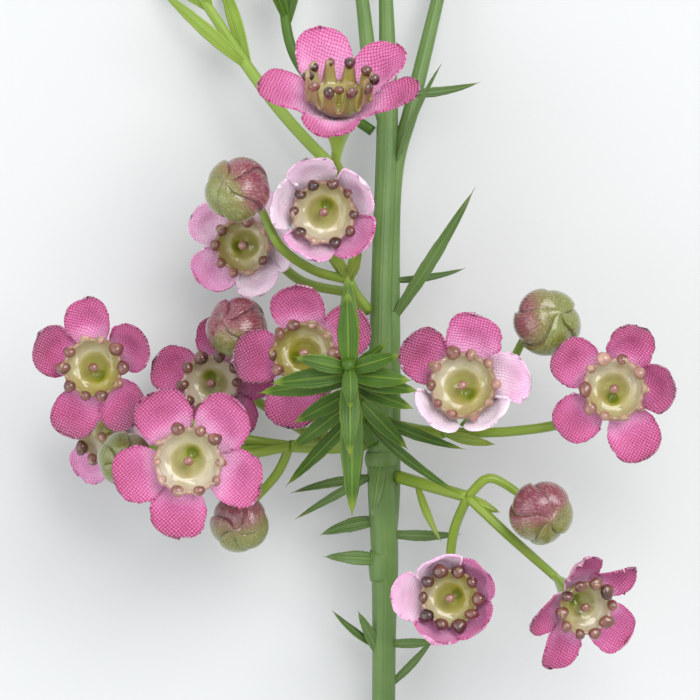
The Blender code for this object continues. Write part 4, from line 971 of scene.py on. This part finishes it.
# %% Twigs
STALK_R = 0.65
CALYX_LENGTH = 6.5
SOCKET = 1.2                         # how deep a stalk goes into its calyx
BLOOM_LEAD = 1.5                     # the last stretch of a stalk is straight
BUD_LEAD = 3.0
FORK_RADII = [0.75, 0.7]
TRUMPET = np.array([(0.55, -8.0), (0.62, -7.0), (0.80, -6.0), (1.12, -4.6), (1.60, -3.0), (2.10, -1.5),
                    (2.48, -0.5), (2.60, -0.12), (2.45, -0.02), (1.6, 0.0), (0.4, 0.0)])
UP_NODE = (-0.2, 10.5, 20.0)         # where each twig's stalks part, as seen
LEFT_NODE = (-9.0, -14.4, 16.4)
LEFT_FORK = (-12.0, -14.4, 16.0)
RIGHT_NODE = (14.0, -12.4, 18.0)
LOW_NODE = (17.6, -22.0, 21.0)
TWIGS = {                            # solid, root and its radii, routes, forks, bracts, paleness
    "upper_twig": (
        "twig_up", [(2.5, 6.0, 14.3), (0.6, 8.5, 18.0), UP_NODE], [1.0, 0.95, 0.9],
        {"bloom_top": [UP_NODE, (1.6, 20.0, 20.0)],
         "bloom_pale_high": [UP_NODE, (-3.0, 14.6, 19.0)],
         "bud_high": [UP_NODE, (-5.5, 12.0, 22.5), (-10.5, 15.6, 27.0)],
         "bloom_pale_left": [(0.6, 8.5, 18.0), (-6.5, 10.0, 11.5), (-10.5, 13.0, 8.6)]},
        [], [(UP_NODE, (-3.0, 15.8, 26.0), 1.6, 0.3, 0), (UP_NODE, (1.8, 15.0, 27.0), 1.6, 0.3, 0)], 0.3),
    "left_twig": (
        "twig_left", [(2.3, -14.0, 13.6), (-3.0, -14.6, 15.0), LEFT_NODE], [1.05, 1.0, 0.95],
        {"bloom_low_left": [LEFT_NODE, (-15.0, -15.6, 18.0)],
         "bloom_far_left": [LEFT_NODE, (-17.0, -13.0, 16.0), (-29.0, -9.0, 19.0)],
         "bud_low_left": [LEFT_NODE, (-11.0, -18.6, 14.5)],
         "bud_green_left": [LEFT_FORK, (-23.0, -15.6, 14.6)],
         "bloom_pale_back": [LEFT_FORK, (-20.0, -16.0, 8.0)],
         "bloom_behind_left": [(-3.0, -14.6, 15.0), (-11.0, -9.6, 6.4)],
         "bud_behind": [(-3.0, -14.6, 15.0), (-8.6, -3.4, 12.0)],
         "bloom_middle": [(-1.0, -14.2, 14.6), (-3.6, -8.0, 15.0)]},
        [(LEFT_NODE, LEFT_FORK)], [], 0.0),
    "right_twig": (
        "twig_right", [(7.2, -11.5, 12.9), (11.0, -12.2, 16.0), RIGHT_NODE], [1.0, 0.95, 0.9],
        {"bloom_right": [RIGHT_NODE, (16.0, -9.0, 20.0)],
         "bloom_far_right": [RIGHT_NODE, (24.0, -12.2, 20.5), (33.0, -10.6, 20.5)],
         "bud_right": [(17.0, -11.6, 18.6), (22.5, -5.0, 19.0)]},
        [], [(RIGHT_NODE, (22.0, -14.2, 24.0), 1.9, 0.4, 20)], 0.2),
    "low_twig": (
        "twig_low", [(7.2, -19.0, 12.9), (12.0, -20.4, 17.0), LOW_NODE], [1.0, 0.95, 0.9],
        {"bloom_corner": [LOW_NODE, (24.0, -28.0, 22.5)],
         "bloom_low_right": [LOW_NODE, (15.4, -28.0, 17.0)],
         "bud_low_right": [LOW_NODE, (21.0, -19.2, 21.5)]},
        [], [((10.0, -20.0, 15.6), (13.8, -29.0, 19.0), 1.5, 0.6, 30),
             (LOW_NODE, (22.6, -24.4, 22.0), 1.7, 0.3, 20)], 0.2),
}


def add_calyx(work, one):
    """The turned trumpet under a bloom, with five faint ribs, paler towards its foot."""
    origin, axes = calyx_seat(one)
    radius, height = np.hsplit(spread_curve(TRUMPET, 34), 2)
    angle = around(40)[None, :]
    rib = 1 + 0.035 * np.cos(5 * angle) * smooth(height, -6, -2)
    radius = radius * (1 + (one["size"] - 1) * smooth(height, -5.5, -1.0)) * rib
    work.add_tube(places(radius * np.cos(angle), radius * np.sin(angle), height) @ axes + origin,
                  across=0.4, tone=0.25 * (1 - smooth(height, -6.5, -2.5)))


def add_bloom_stalk(work, name, route):
    """The stalk to a bloom, straight for its last stretch, then the calyx."""
    origin, axes = calyx_seat(BLOOMS[name])
    ends = [origin - axes[2] * (CALYX_LENGTH + BLOOM_LEAD), origin - axes[2] * (CALYX_LENGTH - SOCKET)]
    add_stalk(work, [*route, *ends], [STALK_R * 1.15] * len(route) + [STALK_R] * 2, ridges=0.03)
    add_calyx(work, BLOOMS[name])


def add_bud_stalk(work, name, route):
    """The stalk to a bud, wider just under it."""
    place, facing, size = BUDS[name][:3]
    axis = axes_of(facing)[2]
    foot = seen(place) - axis * (BUD_R * size * BUD_BOTTOM + GAP)
    radii = [STALK_R * 1.1] * len(route) + [STALK_R, 1.1]
    add_stalk(work, [*route, foot - axis * BUD_LEAD, foot], radii, ridges=0.03)


def twig(name, node, root, radii, routes, forks, bracts, tone):
    """A root from the stem, a stalk to each bloom and bud, and a few small bracts."""
    work = Patches()
    add_stalk(work, seen(root), radii)
    for end, route in routes.items():
        add_end = add_bloom_stalk if end in BLOOMS else add_bud_stalk
        add_end(work, end, seen(route))
    for fork in forks:
        add_stalk(work, seen(fork), FORK_RADII)
    if bracts:
        add_table(work, bracts, tone)
    show(name, work.mesh(name), [TWIG_GREEN], node)


for name, row in TWIGS.items():
    twig(name, *row)
print("twigs:", len(TWIGS))

# %% [markdown]
# The thick stem forks near the top, and single leaves grow on it. It was moulded in a long tool, so
# shallow ridges run down it and a sleeve and a collar show where its parts are joined. The short
# shoot in the middle points straight at the viewer, so its pairs of leaves look like a green star.

# %% Thick stem and leafy shoots
STEM_R = 1.8
STEM_LEAVES = [                      # foot, tip, width, arch and roll of each, as seen
    ((6.0, 4.0, 11.6), (18.9, 24.6, 18.0), 2.2, 0.6, 20),
    ((6.6, 26.5, 11.2), (13.8, 43.0, 17.0), 1.7, -0.8, 60),
    ((5.6, 38.5, 10.2), (19.6, 40.2, 7.0), 1.7, 1.4, 30),
    ((5.6, 10.5, 12.0), (17.4, 12.3, 7.0), 1.5, 0.8, 40),
    ((5.2, -31.5, 10.2), (-4.1, -31.0, 12.5), 2.2, 0.8, 10),
    ((5.2, -25.5, 11.2), (-4.6, -27.8, 8.0), 2.4, 0.9, 30),
    ((4.8, -19.0, 12.4), (-9.0, -21.5, 9.0), 1.7, 0.9, 30),
    ((4.8, -18.0, 12.4), (-8.6, -25.6, 14.0), 1.4, 0.9, 10),
    ((4.7, -15.5, 13.0), (3.3, -25.6, 17.0), 2.4, 0.9, 0),
    ((5.3, -27.5, 10.8), (16.8, -27.6, 8.0), 1.8, 0.8, 20),
    ((5.0, -45.0, 8.2), (-2.7, -39.0, 12.0), 1.5, -0.8, 40),
    ((5.0, -46.5, 8.0), (1.1, -39.0, 11.5), 1.9, 0.3, 0),
    ((5.0, -44.0, 8.4), (14.4, -43.6, 11.0), 1.6, 0.4, 20),
    ((5.0, -51.0, 7.3), (12.9, -42.6, 4.5), 1.5, 0.8, 30),
    ((5.0, -66.0, 5.0), (-6.0, -56.5, 7.0), 2.0, 0.7, 20),
    ((4.9, -70.0, 4.5), (15.0, -60.0, 7.5), 2.0, 0.7, 20),
    ((4.9, -84.0, 3.0), (-3.0, -74.0, 8.0), 1.9, 0.7, 20),
]
FRONT_LEAVES = [
    ((-0.2, -2.6, 42.0), (-0.4, 9.2, 43.6), 3.2, 0.5, 0),
    ((0.1, -3.6, 38.6), (-0.4, 12.0, 37.6), 3.0, 0.6, 0),
    ((-0.2, -2.9, 41.2), (-8.4, -1.0, 43.0), 2.6, 0.4, 0),
    ((-0.2, -2.9, 41.2), (7.7, -0.6, 43.0), 2.6, 0.4, 0),
    ((-0.1, -3.4, 39.5), (5.6, 1.2, 41.0), 1.8, 0.4, 0),
    ((0.0, -2.6, 42.4), (0.1, -9.0, 44.2), 2.4, 0.4, 0),
    ((0.0, -3.6, 39.2), (0.0, -16.4, 42.0), 3.2, 0.5, 0),
    ((0.3, -4.6, 36.4), (0.3, -25.4, 37.5), 3.6, 0.8, 0),
    ((-0.1, -3.6, 39.4), (-12.0, -5.0, 40.0), 3.2, 0.6, 0),
    ((0.2, -4.4, 36.8), (-14.0, -6.5, 35.0), 3.0, 0.6, 0),
    ((-0.1, -3.6, 39.4), (9.3, -4.6, 41.0), 3.2, 0.5, 0),
    ((0.1, -4.2, 37.4), (10.4, -6.2, 39.6), 2.8, 0.5, 0),
    ((0.5, -5.2, 34.6), (9.7, -8.9, 37.4), 2.8, 0.5, 0),
    ((0.8, -6.0, 31.6), (-8.6, -11.0, 31.0), 2.8, 0.6, 0),
    ((1.1, -7.2, 28.4), (-9.4, -15.2, 26.0), 2.6, 0.6, 0),
    ((1.1, -7.2, 28.4), (8.8, -15.0, 26.0), 2.6, 0.5, 0),
    ((1.6, -8.8, 24.0), (-9.8, -20.6, 20.0), 2.2, 0.6, 0),
    ((1.6, -8.8, 24.0), (17.6, -15.0, 25.4), 2.0, 1.6, 20),
    ((2.0, -10.0, 21.0), (16.8, -21.8, 25.4), 1.9, 1.6, 30),
]
LOW = [(4.6, -104.0, 1.6), (4.7, -92.0, 1.6), (4.9, -84.0, 2.4), (5.0, -62.0, 5.6), (5.1, -44.0, 8.4),
       (5.2, -31.0, 10.5)]
LEFT = [(4.6, -16.0, 12.6), (4.7, 8.0, 12.8), (5.6, 34.0, 10.8), (5.4, 52.0, 8.0), (4.2, 70.0, 4.6)]
RIGHT = [(5.2, -34.0, 10.0), (6.2, -22.0, 10.8), (6.4, -6.0, 11.4), (6.6, 24.0, 11.0), (9.4, 37.0, 9.2),
         (13.0, 52.0, 5.0), (16.2, 66.0, 0.6)]
TWIN = [(5.3, 34.0, 10.8), (3.0, 43.0, 10.4), (1.6, 54.0, 8.2), (-1.4, 70.0, 5.0)]
SLEEVE = [(4.95, -34.5, 9.9), (4.92, -32.0, 10.3), (4.9, -30.0, 10.7)]
COLLAR = [(4.6, -17.5, 12.5), (4.6, -16.4, 12.6), (4.6, -15.2, 12.65)]
TRUNK_SHARES = np.array([1] * 5 + [1.15] * 2 + [0.9] * 2 + [0.62] * 2)
STAR_STALK = [(3.2, -13.6, 15.3), (2.0, -10.0, 20.5), (0.8, -6.0, 31.7), (-0.3, -2.0, 43.0)]


def thick_stem():
    """The trunk with its left fork, the right fork, a twin of the left one, and two wider joints."""
    work = Patches()
    add_stalk(work, seen(LOW + LEFT), STEM_R * TRUNK_SHARES, 40, 260, 0.022)
    add_stalk(work, seen(RIGHT), [1.2, 1.3, 1.2, 1.15, 1.2, 1.0, 0.75], 28, 160, 0.02)
    add_stalk(work, seen(TWIN), [1.2, 1.2, 1.0, 0.7], 24, 60, 0.02)
    add_stalk(work, seen(SLEEVE), [2.0, 2.2, 1.95], 40)
    add_stalk(work, seen(COLLAR), [2.2, 2.45, 2.2], 40)
    add_table(work, STEM_LEAVES)
    show("thick_stem", work.mesh("thick_stem"), [STEM_GREEN], "main_stem")


def star_shoot():
    """A stalk towards the eye, with leaves that stand out from it on all sides."""
    work = Patches()
    add_stalk(work, seen(STAR_STALK), [1.2, 1.1, 1.0, 0.9], 24, ridges=0.04)
    add_table(work, FRONT_LEAVES)
    show("star_shoot", work.mesh("star_shoot"), [LEAF_GREEN], "shoot_front")


def side_shoot(name, node, route, radius, pairs, spread, finish):
    """A thin stalk with leaf pairs on its last stretch, each pair a quarter turn from the last.

    A leaf leaves the stalk by the angle of spread, and its length and width are its pair's."""
    points = seen(route)
    points = np.concatenate([points[:-1], (points[-2:-1] + points[-1:]) / 2, points[-1:]])
    work = Patches()
    add_stalk(work, points, [radius] * (len(points) - 2) + [radius * 0.8, radius * 0.55], ridges=0.03)
    start, end = points[-3], points[-1]
    axis = unit(end - start)
    across = unit(np.array([1.0, 0, 0]) - axis * axis[0])
    share, length, width = np.repeat(np.array(pairs), 2, axis=0).T[:, :, None]
    turn = np.radians(45 + 90 * np.repeat(np.arange(len(pairs)), 2))[:, None]
    turn = turn + math.pi * (np.arange(len(turn)) % 2)[:, None]
    out = across * np.cos(turn) + np.cross(axis, across) * np.sin(turn)
    feet = start + (end - start) * share
    tips = feet + (axis * math.cos(math.radians(spread)) + out * math.sin(math.radians(spread))) * length
    add_leaves(work, feet, tips, width[:, 0], 0.05 * length[:, 0], np.zeros(len(feet)))
    show(name, work.mesh(name), [finish], node)


thick_stem()
star_shoot()
side_shoot("pale_shoot", "shoot_upper_left",
           [(3.05, 22.0, 11.1), (-7.5, 32.5, 9.6), (-14.3, 41.0, 8.2), (-31.0, 66.0, 3.6)], 0.9,
           [(0.05, 19.0, 2.2), (0.40, 15.0, 2.0), (0.74, 12.0, 1.8)], 24, YOUNG_GREEN)
side_shoot("dark_shoot", "shoot_upper_mid",
           [(3.4, 32.8, 10.4), (-3.6, 38.0, 9.2), (-9.0, 46.0, 8.6), (-12.0, 76.0, 6.6)], 0.8,
           [(0.10, 17.0, 2.0), (0.44, 14.0, 1.9), (0.76, 11.0, 1.7)], 22, LEAF_GREEN)
print("leaves on the thick stem:", len(STEM_LEAVES), "on the star shoot:", len(FRONT_LEAVES))

# %% [markdown]
# The stem lies on a plain pale floor. Soft light comes from a large panel high above, towards the
# upper right of the view, with a weaker panel from the left and a pale sky to fill the shadows. The
# camera hangs straight above the cluster, and its lens is long, so that high and low blooms keep
# nearly one scale.

# %% Floor, light and camera
FLOOR_SIZE = 3.0                     # metres
SENSOR = 36.0
LOOKED_AT = (CENTRE[0] * MM, CENTRE[1] * MM, FOCUS_HEIGHT * MM)
SKY = (0.93, 0.95, 0.97, 1)
SKY_STRENGTH = 0.95


def floor():
    """A plain square, a very little uneven in its grey."""
    mesh = bpy.data.meshes.new("floor")
    half = FLOOR_SIZE / 2
    corners = [(-half, -half, 0), (half, -half, 0), (half, half, 0), (-half, half, 0)]
    mesh.from_pydata(corners, [], [(0, 1, 2, 3)])
    ground = linked("floor", mesh)
    made, tree, shader = new_material("pale_floor", Roughness=0.85, Specular_IOR_Level=0.2)
    cloud = noise(tree, add_node(tree, "ShaderNodeTexCoord").outputs["Object"], 3.0, 3.0)
    grey = mixed(tree, cloud.outputs["Fac"], (0.58, 0.59, 0.59, 1), (0.595, 0.605, 0.605, 1))
    tree.links.new(grey, shader.inputs["Base Color"])
    mesh.materials.append(made)


def panel(name, place, aim, size, power, colour):
    """A square area light that faces its aim: tilted by how far, and turned to which side, it is off."""
    light = bpy.data.lights.new(name, "AREA")
    light.size, light.energy, light.color = size, power, colour
    lamp = linked(name, light)
    lamp.location = place
    away = np.array(place) - np.array(aim)
    lamp.rotation_euler = (math.atan2(math.hypot(away[0], away[1]), away[2]), 0,
                           math.atan2(away[0], -away[1]))


floor()
panel("key_panel", (0.35, 0.45, 0.95), LOOKED_AT, 0.8, 9.6, (1.0, 0.99, 0.97))
panel("fill_panel", (-0.8, -0.1, 0.7), LOOKED_AT, 0.9, 3.5, (0.97, 0.98, 1.0))
world = bpy.data.worlds.new("pale_sky")
world.use_nodes = True
sky = world.node_tree.nodes["Background"].inputs
sky["Color"].default_value, sky["Strength"].default_value = SKY, SKY_STRENGTH
bpy.context.scene.world = world
camera_data = bpy.data.cameras.new("camera")
camera_data.sensor_width = SENSOR
camera_data.lens = SENSOR * EYE_HEIGHT / VIEW_SIZE
camera_data.clip_start = 0.01
camera = linked("camera", camera_data)
camera.location = (CENTRE[0] * MM, CENTRE[1] * MM, (EYE_HEIGHT + FOCUS_HEIGHT) * MM)
bpy.context.scene.camera = camera
bpy.context.scene.view_settings.view_transform = "Standard"
print("camera lens:", round(camera_data.lens, 1), "mm")
